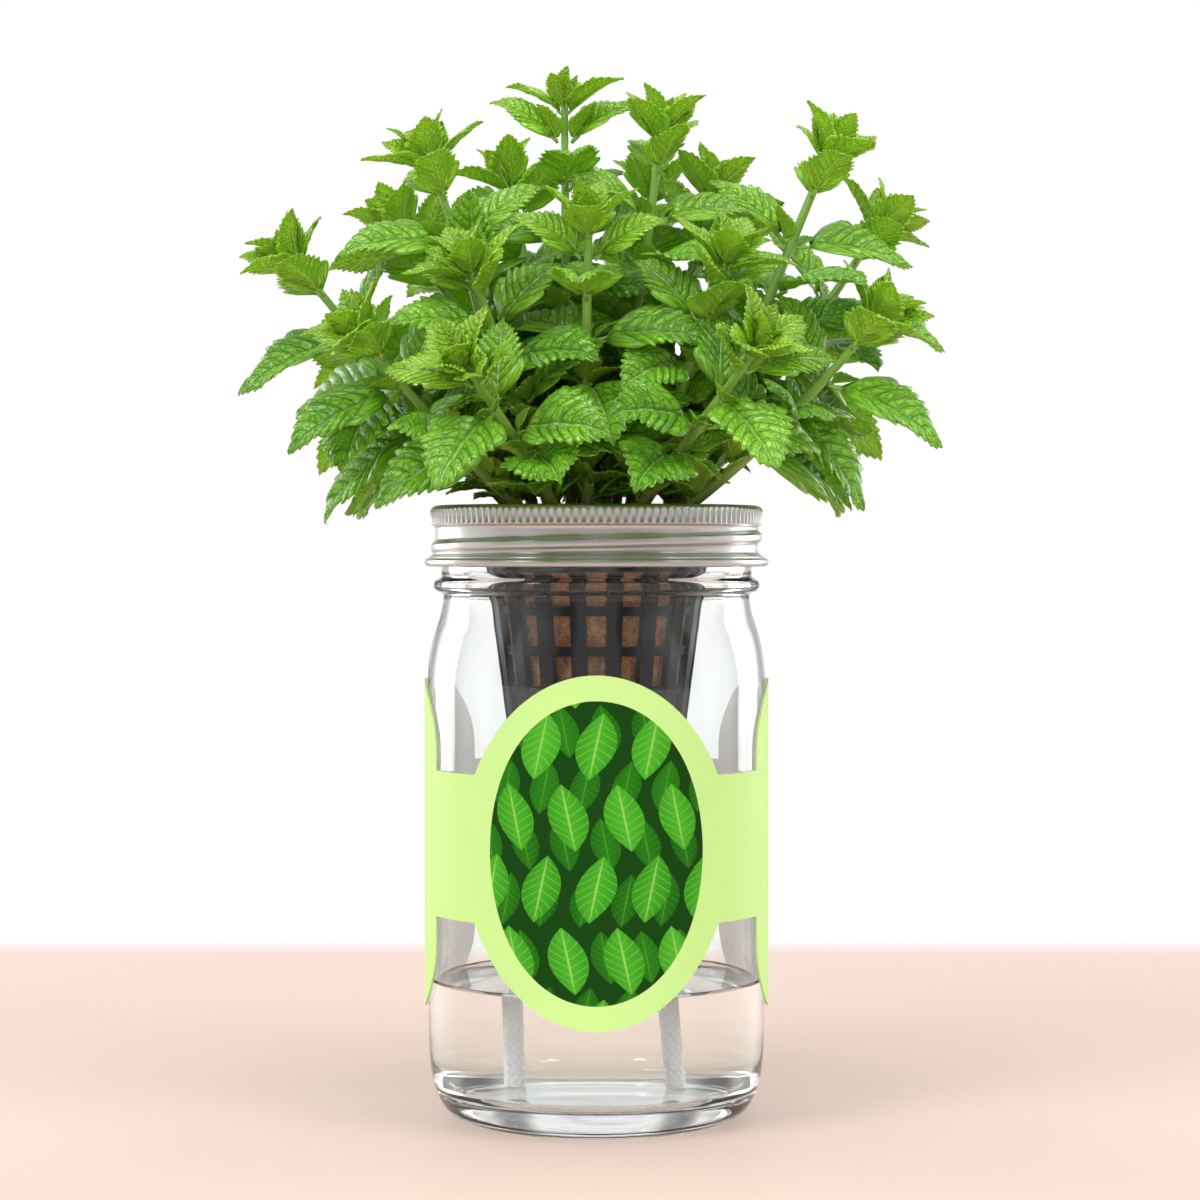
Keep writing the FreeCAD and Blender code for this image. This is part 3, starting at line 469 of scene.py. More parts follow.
bandSizes = {
    "segments": 1056,
    "curl": (46.9, 155.6), "curlRadius": 1.2, "curlTurns": (-190, 97), "curlSteps": 16,
    "foot": [(46.9, 157.05), (46.2, 157.4), (45.55, 157.9), (45.2, 158.5), (45.1, 159.2)],
    "neckTop": 164.9, "neckRings": 14, "gauge": 0.4,
    "step": [(45.15, 165.3), (45.5, 165.7), (46.0, 166.0), (46.35, 166.15)],
    "knurl": [(46.5, 166.4), (46.5, 168.0), (46.5, 169.7)],
    "top": [
        (46.3, 170.3), (45.9, 170.85), (45.3, 171.2), (44.4, 171.4), (42.0, 171.4), (39.4, 171.4),
        (39.05, 171.3), (39.0, 171.15), (39.1, 171.02),
    ],
    "under": [
        (42.0, 171.0), (44.3, 171.0), (45.1, 170.75), (45.6, 170.3), (45.75, 169.6), (45.75, 166.7),
        (45.4, 166.2), (44.95, 165.8), (44.75, 165.3),
    ],
    "flare": [(44.8, 158.35), (45.2, 157.7), (45.8, 157.2), (46.3, 156.95)],
    "thread": {
        **threadSizes, "threadFoot": 4.2, "threadCrest": 1.2, "threadProud": 1.15,
        "threadInside": 44.0, "threadLow": 157.6, "threadHigh": 165.0,
        "knurlCount": 132, "knurlDepth": 0.55, "knurlLow": 166.3, "knurlHigh": 169.9, "knurlInside": 46.2,
    },
    "tones": ((0.0, "#b0b0af"), (1.0, "#d4d4d2")), "roughness": (0.28, 0.4), "cloudSize": 60.0,
    "rollingMarks": (6, 6, 2600), "relief": (0.12, 0.1),
}


# Satin tinplate with fine rolling marks round it and a little cloudiness
def bandMaterial():
    s = bandSizes
    material, tree, shader = newMaterial("satinTinplate", {"Metallic": 1.0})
    place = objectPlace(tree)
    stretched = addNode(tree, "ShaderNodeMapping", place, more={"Scale": s["rollingMarks"]})
    marks = noise(tree, stretched.outputs[0], 1.0, 3.0)
    cloud = noise(tree, place, s["cloudSize"], 4.0)
    rough = ranged(tree, cloud, 0.3, 0.7, *s["roughness"], "LINEAR")
    fill(shader, {"Base Color": tones(tree, marks, *s["tones"]), "Roughness": rough})
    relief(tree, shader, marks, *s["relief"])
    return material


# The outline goes round the curled foot, up the outside, over the top and down the inside
def makeBand():
    s = bandSizes
    material = bandMaterial()
    first, last = s["curlTurns"]
    across, up = s["curl"]
    curl = []
    for step in range(s["curlSteps"] + 1):
        turn = math.radians(first + (last - first) * step / s["curlSteps"])
        curl.append((across + s["curlRadius"] * math.cos(turn), up + s["curlRadius"] * math.sin(turn)))
    low = s["foot"][-1]
    rise = (s["neckTop"] - low[1]) / s["neckRings"]
    neck = [(low[0], low[1] + rise * step) for step in range(1, s["neckRings"] + 1)]
    inner = [(radius - s["gauge"], height) for radius, height in reversed([low] + neck)]
    outline = curl + s["foot"] + neck + s["step"] + s["knurl"] + s["top"] + s["under"] + inner + s["flare"]
    points, faces = turnedRows(outline, s["segments"])
    band = newPiece("screwBand", points, faces, material, "band", "band_metal", "screw_band")
    shapedBy(band, threadedShape(material, s["thread"]), s["thread"])


makeBand()
print("band built")


# Card sleeve

sleeveSizes = {
    "inside": 47.6, "gauge": 0.5, "columns": 720, "rows": 24, "sharpAngle": 40,
    "belt": (58.7, 98.6), "ovalCentre": 78.5, "ovalHalfWidth": 36.1, "ovalHalfHeight": 47.3,
    "panel": (31.4, 123.0), "panelBack": 5.0, "panelHalfWidth": 24.5, "panelCorner": 20.0,
    "picture": (30.5, 40.5), "lime": ((0.0, "#c7f191"), (1.0, "#d0f89d")), "fibreSize": 1.2,
    "outer": {"Roughness": 0.55, "Specular IOR Level": 0.12},
    "board": ((0.3, "#fbf8f4"), (0.7, "#fffdfa")), "boardFibre": 900.0, "relief": (0.08, 0.1),
    "inner": {
        "Roughness": 0.7, "Specular IOR Level": 0.2, "Subsurface Weight": 1.0,
        "Subsurface Radius": (2.5, 2.5, 2.5), "Subsurface Scale": 0.001,
    },
}
leafPrint = {  # two layers of plain leaf shapes in staggered rows, in cells with this width and height
    "back": {"cell": (11.0, 15.0), "shift": (3.0, 5.0), "tones": ("#165c08", "#267d12"), "rib": "#40921f"},
    "front": {"cell": (15.0, 19.0), "shift": (0.0, 0.0), "tones": ("#2c8f14", "#4fb52a"), "rib": "#8ccc58"},
    "ground": "#0d4206", "half": 0.36, "reach": 0.47, "lean": 0.28, "veins": 9.0, "veinSlant": -0.16,
    "veinWidth": 0.14, "veinShade": 0.45, "midrib": 0.06,
}


# The card's lowest and highest point at one place round the jar
def sleeveReach(turn):
    s = sleeveSizes
    low, high = s["belt"]
    outer = s["inside"] + s["gauge"]
    across, back = outer * math.cos(turn), outer * math.sin(turn)
    if abs(across) < s["ovalHalfWidth"]:
        half = s["ovalHalfHeight"] * math.sqrt(1 - (across / s["ovalHalfWidth"]) ** 2)
        low, high = min(low, s["ovalCentre"] - half), max(high, s["ovalCentre"] + half)
    off = abs(back - s["panelBack"])
    if off < s["panelHalfWidth"]:
        inset = max(0, off - s["panelHalfWidth"] + s["panelCorner"])
        rise = s["panelCorner"] - math.sqrt(s["panelCorner"] ** 2 - inset**2)
        low, high = min(low, s["panel"][0] + rise), max(high, s["panel"][1] - rise)
    return low, high


# One layer of leaf shapes: whether a place is on a leaf, and its colour there
def printedLeaves(tree, across, up, layer):
    do = partial(maths, tree)
    wide, tall = layer["cell"]
    rows = do("DIVIDE", do("ADD", up, layer["shift"][1]), tall)
    row = do("FLOOR", rows)
    odd = do("FLOORED_MODULO", row, 2.0)
    cells = do("MULTIPLY_ADD", odd, 0.5, do("DIVIDE", do("ADD", across, layer["shift"][0]), wide))
    x = do("SUBTRACT", do("FRACT", cells), 0.5)
    y = do("SUBTRACT", do("FRACT", rows), 0.5)
    y = do("MULTIPLY", y, do("MULTIPLY_ADD", odd, -2.0, 1.0))
    leant = do("MULTIPLY_ADD", y, leafPrint["lean"], x)
    share = do("DIVIDE", y, leafPrint["reach"])
    half = do("MULTIPLY", do("SUBTRACT", 1.0, do("MULTIPLY", share, share)), leafPrint["half"])
    out = do("DIVIDE", do("ABSOLUTE", leant), do("MAXIMUM", half, 0.001))
    isLeaf = do("MULTIPLY", do("LESS_THAN", out, 1.0), do("GREATER_THAN", half, 0.0))
    cell = joined(tree, do("FLOOR", cells), row, 0.0)
    chance = addNode(tree, "ShaderNodeTexWhiteNoise", cell).outputs["Value"]
    shade = do("MULTIPLY_ADD", out, -0.55, do("MULTIPLY_ADD", chance, 0.5, 0.6))  # darker at the edge
    body = tones(tree, shade, *zip((0.0, 1.0), layer["tones"]))
    slanted = do("MULTIPLY_ADD", out, leafPrint["veinSlant"], y)
    phase = do("FRACT", do("MULTIPLY", slanted, leafPrint["veins"]))
    veins = do("MULTIPLY", do("LESS_THAN", phase, leafPrint["veinWidth"]), leafPrint["veinShade"])
    ribs = do("MAXIMUM", veins, do("LESS_THAN", out, leafPrint["midrib"]))
    return isLeaf, mixed(tree, ribs, body, layer["rib"])


# The card's plain inner side, through which some light comes
def plainBoard():
    material, tree, shader = newMaterial("plainBoard", sleeveSizes["inner"])
    fibre = noise(tree, objectPlace(tree), sleeveSizes["boardFibre"])
    fill(shader, {"Base Color": tones(tree, fibre, *sleeveSizes["board"])})
    return material


# Lime card with a darker oval of printed leaves
def printedCard():
    s = sleeveSizes
    material, tree, shader = newMaterial("printedCard", s["outer"])
    place = addNode(tree, "ShaderNodeUVMap", uv_map="print").outputs[0]
    across, up, _ = parted(tree, place)
    x, y = [maths(tree, "DIVIDE", way, reach) for way, reach in zip((across, up), s["picture"])]
    reach = maths(tree, "MULTIPLY_ADD", x, x, maths(tree, "MULTIPLY", y, y))
    fibre = noise(tree, place, s["fibreSize"], 6.0)
    picture = leafPrint["ground"]
    for word in ("back", "front"):
        isLeaf, colour = printedLeaves(tree, across, up, leafPrint[word])
        picture = mixed(tree, isLeaf, picture, colour)
    lime = tones(tree, fibre, *s["lime"])
    fill(shader, {"Base Color": mixed(tree, maths(tree, "LESS_THAN", reach, 1.0), lime, picture)})
    relief(tree, shader, fibre, *s["relief"])
    return material


def makeSleeve():
    s = sleeveSizes
    outer = s["inside"] + s["gauge"]
    turns = [2 * math.pi * step / s["columns"] for step in range(s["columns"])]
    for side in (-1, 1):  # the straight edges of the panels, as two columns close together
        edge = math.asin((s["panelBack"] + side * s["panelHalfWidth"]) / outer)
        for base in (edge, math.pi - edge):
            turns += [base - 0.0002, base + 0.0002]  # radians
    turns = sorted(turn % (2 * math.pi) for turn in turns)
    points, prints = [], []
    for radius in (outer, s["inside"]):
        for turn in turns:
            low, high = sleeveReach(turn)
            away = (turn + math.pi / 2 + math.pi) % (2 * math.pi) - math.pi  # from the front of the jar
            unrolled = (away if abs(away) < math.pi / 2 else math.copysign(math.pi, away) - away) * radius
            for step in range(s["rows"] + 1):
                height = low + (high - low) * step / s["rows"]
                points.append((radius * mm * math.cos(turn), radius * mm * math.sin(turn), height * mm))
                prints.append((unrolled, height - s["ovalCentre"]))
    names = np.arange(len(points) // 2).reshape(len(turns), -1)
    after, behind = np.roll(names, -1, axis=0), names.size
    walls = np.stack([names[:, :-1], after[:, :-1], after[:, 1:], names[:, 1:]], axis=-1).reshape(-1, 4)
    foot = np.stack([names[:, 0], names[:, 0] + behind, after[:, 0] + behind, after[:, 0]], axis=-1)
    top = np.stack([names[:, -1], after[:, -1], after[:, -1] + behind, names[:, -1] + behind], axis=-1)
    faces = np.vstack([walls, walls[:, ::-1] + behind, foot, top]).tolist()
    sleeve = newPiece("cardSleeve", points, faces, printedCard(), "sleeve", "sleeve_card", "label_sleeve")
    printed(sleeve.data, "print", prints)
    sleeve.data.materials.append(plainBoard())
    sides = np.zeros(len(faces), np.int32)
    sides[len(walls) : 2 * len(walls)] = 1
    sleeve.data.polygons.foreach_set("material_index", sides)
    sleeve.data.set_sharp_from_angle(angle=math.radians(s["sharpAngle"]))


makeSleeve()
print("sleeve built")


# Coir plug

plugSizes = {
    "segments": 120, "steps": 40, "footRings": 8, "topRings": 14, "topShare": 0.93, "edgeEase": 0.05,
    "topRoom": 0.5, "sideRoom": 0.35, "footRoom": 0.3, "crown": 0.2,  # room inside the CAD's plug
    "potFoot": (97.2, 22.8), "potSlope": 8.8 / 71, "potWall": 2.2,
    "shape": {
        "pitDepth": 1.1, "pitScale": 330.0, "fibreCount": 150000.0, "fibreLength": 4.2, "fibreWidth": 0.2,
        "seed": 11,
    },
    "bends": {"Start": (-0.5, -0.03), "Middle": (0.05, 0.1), "End": (0.5, -0.02)},  # along a fibre, and up
    "coir": {"tones": ((0.33, "#784c30"), (0.72, "#e2b283"), (0.5, "#b98155")), "grain": 420.0},
    "fibre": {"tones": ((0.33, "#a06d46"), (0.72, "#f0cda2"), (0.5, "#cc9a69")), "grain": 260.0},
    "fleckShare": 1.7, "fleckShade": 0.45, "relief": (0.9, 1.2),
}


def coirMaterial(name, look):
    material, tree, shader = newMaterial(name, {"Roughness": 0.95})
    place = objectPlace(tree)
    grain = noise(tree, place, look["grain"], 8.0, 0.7)
    size = look["grain"] * plugSizes["fleckShare"]
    flecks = addNode(tree, "ShaderNodeTexVoronoi", place, feature="F1", more={"Scale": size})
    spots = ranged(tree, flecks.outputs["Distance"], 0.12, 0.3, plugSizes["fleckShade"], 1.0, "LINEAR")
    colour = tones(tree, grain, *look["tones"])
    shaded = addNode(tree, "ShaderNodeVectorMath", colour, operation="SCALE", more={"Scale": spots})
    fill(shader, {"Base Color": shaded.outputs[0]})
    relief(tree, shader, grain, *plugSizes["relief"])
    return material


# Pits the plug's skin and scatters short fibres that lie along it
def fibreShape(material, fibreMaterial):
    tree, geometry, given = nodeShape("coirFibres", plugSizes["shape"])
    do = partial(maths, tree)
    place = addNode(tree, "GeometryNodeInputPosition").outputs[0]
    pits = noise(tree, place, given["pitScale"], 5.0)
    depth = do("MULTIPLY", pits, do("MULTIPLY", given["pitDepth"], -mm))
    normal = addNode(tree, "GeometryNodeInputNormal").outputs[0]
    inward = addNode(tree, "ShaderNodeVectorMath", normal, operation="SCALE", more={"Scale": depth})
    offset = {"Offset": inward.outputs[0]}
    pitted = addNode(tree, "GeometryNodeSetPosition", geometry, more=offset).outputs[0]
    skin = addNode(tree, "GeometryNodeSetMaterial", pitted, more={"Material": material})
    spread = {"Density": given["fibreCount"], "Seed": given["seed"]}
    spots = addNode(tree, "GeometryNodeDistributePointsOnFaces", pitted, more=spread)
    length = do("MULTIPLY", given["fibreLength"], mm)
    ends = {}
    for word, (along, up) in plugSizes["bends"].items():
        ends[word] = joined(tree, do("MULTIPLY", length, along), 0.0, do("MULTIPLY", length, up))
    line = addNode(tree, "GeometryNodeCurveQuadraticBezier", 3, more=ends).outputs[0]
    width = do("MULTIPLY", given["fibreWidth"], mm / 2)
    section = addNode(tree, "GeometryNodeCurvePrimitiveCircle", more={"Resolution": 3, "Radius": width})
    closed = {"Fill Caps": True}
    fibre = addNode(tree, "GeometryNodeCurveToMesh", line, section.outputs[0], more=closed)
    fibre = addNode(tree, "GeometryNodeSetMaterial", fibre.outputs[0], more={"Material": fibreMaterial})
    turned = {"Instance": fibre.outputs[0], "Rotation": spots.outputs["Rotation"]}
    scattered = addNode(tree, "GeometryNodeInstanceOnPoints", spots.outputs["Points"], more=turned)
    spin = addNode(tree, "FunctionNodeRandomValue", data_type="FLOAT", more={2: 0.0, 3: 2 * math.pi})
    turn = joined(tree, 0.0, 0.0, spin.outputs[1])
    spun = addNode(tree, "GeometryNodeRotateInstances", scattered.outputs[0], more={"Rotation": turn})
    both = addNode(tree, "GeometryNodeJoinGeometry", skin.outputs[0])
    fill(both, {0: spun.outputs[0]})
    solid = addNode(tree, "GeometryNodeRealizeInstances", both.outputs[0])
    addNode(tree, "NodeGroupOutput", solid.outputs[0])
    return tree


def makePlug():
    s = plugSizes
    low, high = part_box("coir_plug")
    foot, top = low.z / mm, high.z / mm - s["topRoom"]
    potFoot, potRadius = s["potFoot"]
    wide = high.x / mm - s["sideRoom"]
    narrow = potRadius + (foot - potFoot) * s["potSlope"] - s["potWall"]
    foot += s["footRoom"]
    outline = [(narrow * ring / s["footRings"], foot) for ring in range(s["footRings"])]
    for step in range(s["steps"] + 1):
        share = step / s["steps"]
        fromEnd = min(step, s["steps"] - step)
        ease = 1 - s["edgeEase"] * max(0, 1 - fromEnd / 2)
        outline.append(((narrow + (wide - narrow) * share) * ease, foot + (top - foot) * share))
    for ring in range(s["topRings"] - 1, -1, -1):
        outline.append((wide * s["topShare"] * ring / s["topRings"], top + s["crown"]))
    points, faces = turnedRows(outline, s["segments"])
    coir, fibre = coirMaterial("pressedCoir", s["coir"]), coirMaterial("coirFibre", s["fibre"])
    plug = newPiece("coirPlug", points, faces, coir, "plant", "coir", "coir_plug")
    plug.data.materials.append(fibre)
    shapedBy(plug, fibreShape(coir, fibre), s["shape"])


makePlug()
print("plug built")


# Wicks

wickSizes = {
    "thickness": 4.5,
    "wick_left": [
        (-17.0, 0, 120.6), (-17.0, 0, 92.0), (-18.2, -1.4, 63.0), (-17.8, 0.4, 36.0), (-17.0, 1.6, 9.4),
    ],
    "wick_right": [
        (14.6, 0, 120.6), (14.6, 0, 92.0), (13.6, 1.2, 63.0), (14.8, -0.6, 36.0), (17.0, -1.8, 9.4),
    ],
    "tones": ((0.0, "#f6f6f4"), (1.0, "#ffffff")), "relief": (0.5, 0.6),
    "strandsAlong": 26.0, "strandsRound": 4.0, "fluffSize": 1800.0, "fluff": 0.3,
    "cotton": {
        "Roughness": 0.9, "Subsurface Weight": 0.5, "Subsurface Radius": (1.0, 1.0, 1.0),
        "Subsurface Scale": 0.001,
    },
}


# White braid: two sets of strands that cross round the cord, in relief
def cottonMaterial():
    s = wickSizes
    material, tree, shader = newMaterial("braidedCotton", s["cotton"])
    do = partial(maths, tree)
    place = addNode(tree, "ShaderNodeTexCoord").outputs["UV"]
    along, around, _ = parted(tree, place)
    strands = []
    for side in (1.0, -1.0):
        phase = do("MULTIPLY", around, side * s["strandsRound"] * 2 * math.pi)
        phase = do("MULTIPLY_ADD", along, s["strandsAlong"] * 2 * math.pi, phase)
        strands.append(do("ABSOLUTE", do("SINE", phase)))
    weave = do("MULTIPLY", *strands)
    fill(shader, {"Base Color": tones(tree, weave, *s["tones"])})
    fluff = noise(tree, objectPlace(tree), s["fluffSize"])
    relief(tree, shader, do("MULTIPLY_ADD", fluff, s["fluff"], weave), *s["relief"])
    return material


def makeWicks():
    cotton = cottonMaterial()
    for node, name in (("wick_left", "wickLeft"), ("wick_right", "wickRight")):
        route = [[part * mm for part in place] for place in wickSizes[node]]
        curve = bpy.data.curves.new(name, "CURVE")
        curve.dimensions = "3D"
        curve.bevel_depth = wickSizes["thickness"] / 2 * mm
        curve.bevel_resolution = 6
        curve.use_fill_caps = True
        curve.resolution_u = 24
        spline = curve.splines.new("NURBS")
        spline.points.add(len(route) - 1)
        for spot, place in zip(spline.points, route):
            spot.co = (*place, 1)
        spline.order_u = 3
        spline.use_endpoint_u = True
        curve.materials.append(cotton)
        wick = bpy.data.objects.new(name, curve)
        bpy.context.collection.objects.link(wick)
        settle(wick, "pot", "wick_cotton", node)


makeWicks()
print("wicks built")


# Net pot and lid insert keep their solids, in moulded plastic

plastics = {
    "net_pot": {
        "name": "potPlastic", "tones": ((0.0, "#060707"), (1.0, "#0e0f10")), "roughness": (0.44, 0.56),
    },
    "lid_insert": {
        "name": "insertPlastic", "tones": ((0.0, "#0c0d0e"), (1.0, "#17191a")), "roughness": (0.34, 0.46),
    },
}
plasticFinish = {"shine": 0.14, "cloudSize": 90.0, "grainSize": 2600.0, "relief": (0.15, 0.1)}


def paintPlastic():
    s = plasticFinish
    for node, look in plastics.items():
        material, tree, shader = newMaterial(look["name"], {"Specular IOR Level": s["shine"]})
        place = objectPlace(tree)
        cloud = noise(tree, place, s["cloudSize"], 4.0)
        rough = ranged(tree, cloud, 0.3, 0.7, *look["roughness"], "LINEAR")
        fill(shader, {"Base Color": tones(tree, cloud, *look["tones"]), "Roughness": rough})
        relief(tree, shader, noise(tree, place, s["grainSize"]), *s["relief"])
        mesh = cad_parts[node].data
        mesh.materials.clear()
        mesh.materials.append(material)


paintPlastic()
print("plastic painted")


# Mint plant

leafSizes = {
    "teeth": 9, "rowsPerTooth": 5, "toothSkew": 1.5, "toothDepth": 0.19, "toothLean": 0.025,
    "halfColumns": 7, "veins": 8, "veinSlant": 0.4, "quilt": 0.055, "ripple": 0.006, "wave": 0.03,
    "thickness": 0.28, "stalkShare": 0.11, "stalkWidth": 1.15, "stalkSides": 6, "fullLength": 30,
    "outline": [  # half the blade's width along it, both in shares of its length
        (0.0, 0.07), (0.04, 0.15), (0.1, 0.225), (0.18, 0.285), (0.28, 0.325), (0.4, 0.335),
        (0.52, 0.315), (0.64, 0.27), (0.76, 0.205), (0.87, 0.13), (0.95, 0.06), (1.0, 0.006),
    ],
}
tipLeaves = [  # young leaves that crowd at a tip, the youngest last: length, lift, turn, below the tip
    (20.0, 36, 45, 3.4), (20.0, 36, 225, 3.4), (18.5, 54, 135, 2.6), (18.5, 54, 315, 2.6),
    (15.5, 68, 30, 1.2), (15.5, 68, 210, 1.2), (10.5, 79, 120, 0.4), (10.5, 79, 300, 0.4),
]
cornerLeaves = {"length": (8.0, 14.0), "spread": 42, "lift": 0.7}  # in the corners of a shoot's pairs
footLeaves = {  # low on a stem. The lowest leaf still clears the band
    "shares": (0.02, 0.045, 0.08, 0.12, 0.17, 0.23, 0.3, 0.38, 0.46), "length": (11.0, 21.0),
    "lifts": (-0.3, 0.1, 0.5, 0.9, 1.2), "lowest": 172.6,
}
smallLeaf = {
    "teeth": 6, "halfColumns": 2, "tipTeeth": 7, "tipHalfColumns": 4, "tipWide": 1.05,
    "shorter": 0.85, "edgeRoom": 1.5, "shortest": 3.0, "fold": 0.45, "droop": 0.16,
}
stemSizes = {"rings": 46, "sides": 12, "square": 0.13, "swell": 0.14, "swellReach": 1.6, "fit": 0.92}
plantLook = {
    "old": ((0.25, "#3a8008"), (0.8, "#7cc41f")), "young": ((0.25, "#8fcb22"), (0.8, "#b8e63c")),
    # the cushions' colour is a painted highlight, the veins' colour painted shade in the sunk lines, and the
    # underside's partly painted light
    "cushionHighlight": "#9cd440", "sunkVeinShade": "#2b660a", "midrib": "#a8cc66", "under": "#a8da46", "relief": (0.8, 0.6),
    "leaf": {
        "Roughness": 0.32, "Specular IOR Level": 0.34, "Coat Weight": 0.35, "Coat Roughness": 0.22,
        "Subsurface Weight": 0.4, "Subsurface Radius": (0.7, 1.0, 0.2), "Subsurface Scale": 0.001,
    },
    "stem": ((0.35, "#7fae45"), (0.95, "#7d9a44")), "stemFoot": "#7d6a3c",
    "stemRoughness": 0.48, "stemRelief": (0.25, 0.3),
    "seed": 5,
}


def unit(vector):
    return vector / np.linalg.norm(vector)


# The mesh's corners as points that are each there once, and those of each solid that its triangles join
def uniquePoints(mesh):
    spots = np.array([vertex.co[:] for vertex in mesh.vertices])
    _, firsts, names = np.unique(np.round(spots / 2e-5), axis=0, return_index=True, return_inverse=True)
    names = names.ravel()
    parent = list(range(len(firsts)))

    def root(item):
        while parent[item] != item:
            parent[item] = parent[parent[item]]
            item = parent[item]
        return item

    for polygon in mesh.polygons:
        corners = [names[vertex] for vertex in polygon.vertices]
        for corner in corners[1:]:
            parent[root(corner)] = root(corners[0])
    islands = {}
    for item in range(len(firsts)):
        islands.setdefault(root(item), []).append(item)
    return spots[firsts], [spots[firsts][items] for items in islands.values()]


# A plain solid leaf's middle line from its stem to its tip, the ways its edges and its upper side face,
# its fold, and how broad it is drawn. Behind the tip its points come in fours
def readLeaf(points):
    apart = np.linalg.norm(points[:, None] - points[None], axis=2)
    a, b = np.unravel_index(apart.argmax(), apart.shape)
    nearest = np.sort(apart, axis=1)[:, 1]
    tip = a if nearest[a] > nearest[b] else b
    order = np.argsort(apart[tip])
    sections = [points[order[first : first + 4]] for first in range(1, len(points), 4)]
    spine = [points[tip]]
    edges = []
    for section in sections[:3]:
        gaps = np.linalg.norm(section[:, None] - section[None], axis=2) + np.eye(4)
        pair = np.unravel_index(gaps.argmin(), gaps.shape)
        sides = np.array([section[item] for item in range(4) if item not in pair])
        mids = section[list(pair)]
        near = np.linalg.norm(mids - sides.mean(axis=0), axis=1)
        spine.append(mids[near.argmin()])
        edges.append(sides)
    spine = np.array(spine + [section.mean(axis=0) for section in sections[3:]])[::-1]
    widest = edges[1]
    side = unit(widest[1] - widest[0])
    face = unit(np.cross(spine[-1] - spine[0], side))
    fold = (widest.mean(axis=0) - spine[3]) @ face
    if fold < 0:
        face, side, fold = -face, -side, -fold
    steep = min(0.5, fold / np.linalg.norm(widest[1] - widest[0]) * 1.5)
    return spine, side, face, steep, 1.0


# The same facts for a small leaf that heads outward and up from a place, shortened to stay in the CAD's box
def youngLeaf(place, outward, upward, lift, length, broad=1.0):
    s = smallLeaf
    ahead = unit(outward * math.cos(lift) + upward * math.sin(lift))
    side = unit(np.cross(upward, outward))
    face = unit(np.cross(ahead, side))
    if face @ (upward - outward) < 0:
        face = -face
    shares = np.array([0.0, 0.12, 0.3, 0.55, 0.8, 1.0])
    bend = ahead * shares[:, None] - face * (s["droop"] * shares**2.2)[:, None]
    low, high = (np.array(corner) for corner in cadBox)
    room = s["edgeRoom"] * mm
    length /= s["shorter"]
    isInside = False
    while not isInside:
        length *= s["shorter"]
        spine = place + bend * length
        isInside = (spine > low + room).all() and (spine < high - room).all() or length < s["shortest"] * mm
    return spine, side, face, s["fold"], broad


# Places on a smooth line through the spots at shares of its length, and the length
def curveThrough(spots, shares):
    line = smoothLine(spots, 8)
    steps = np.r_[0, np.cumsum(np.linalg.norm(np.diff(line, axis=0), axis=1))]
    places = [np.interp(shares * steps[-1], steps, line[:, axis]) for axis in range(3)]
    return np.stack(places, axis=-1), steps[-1]


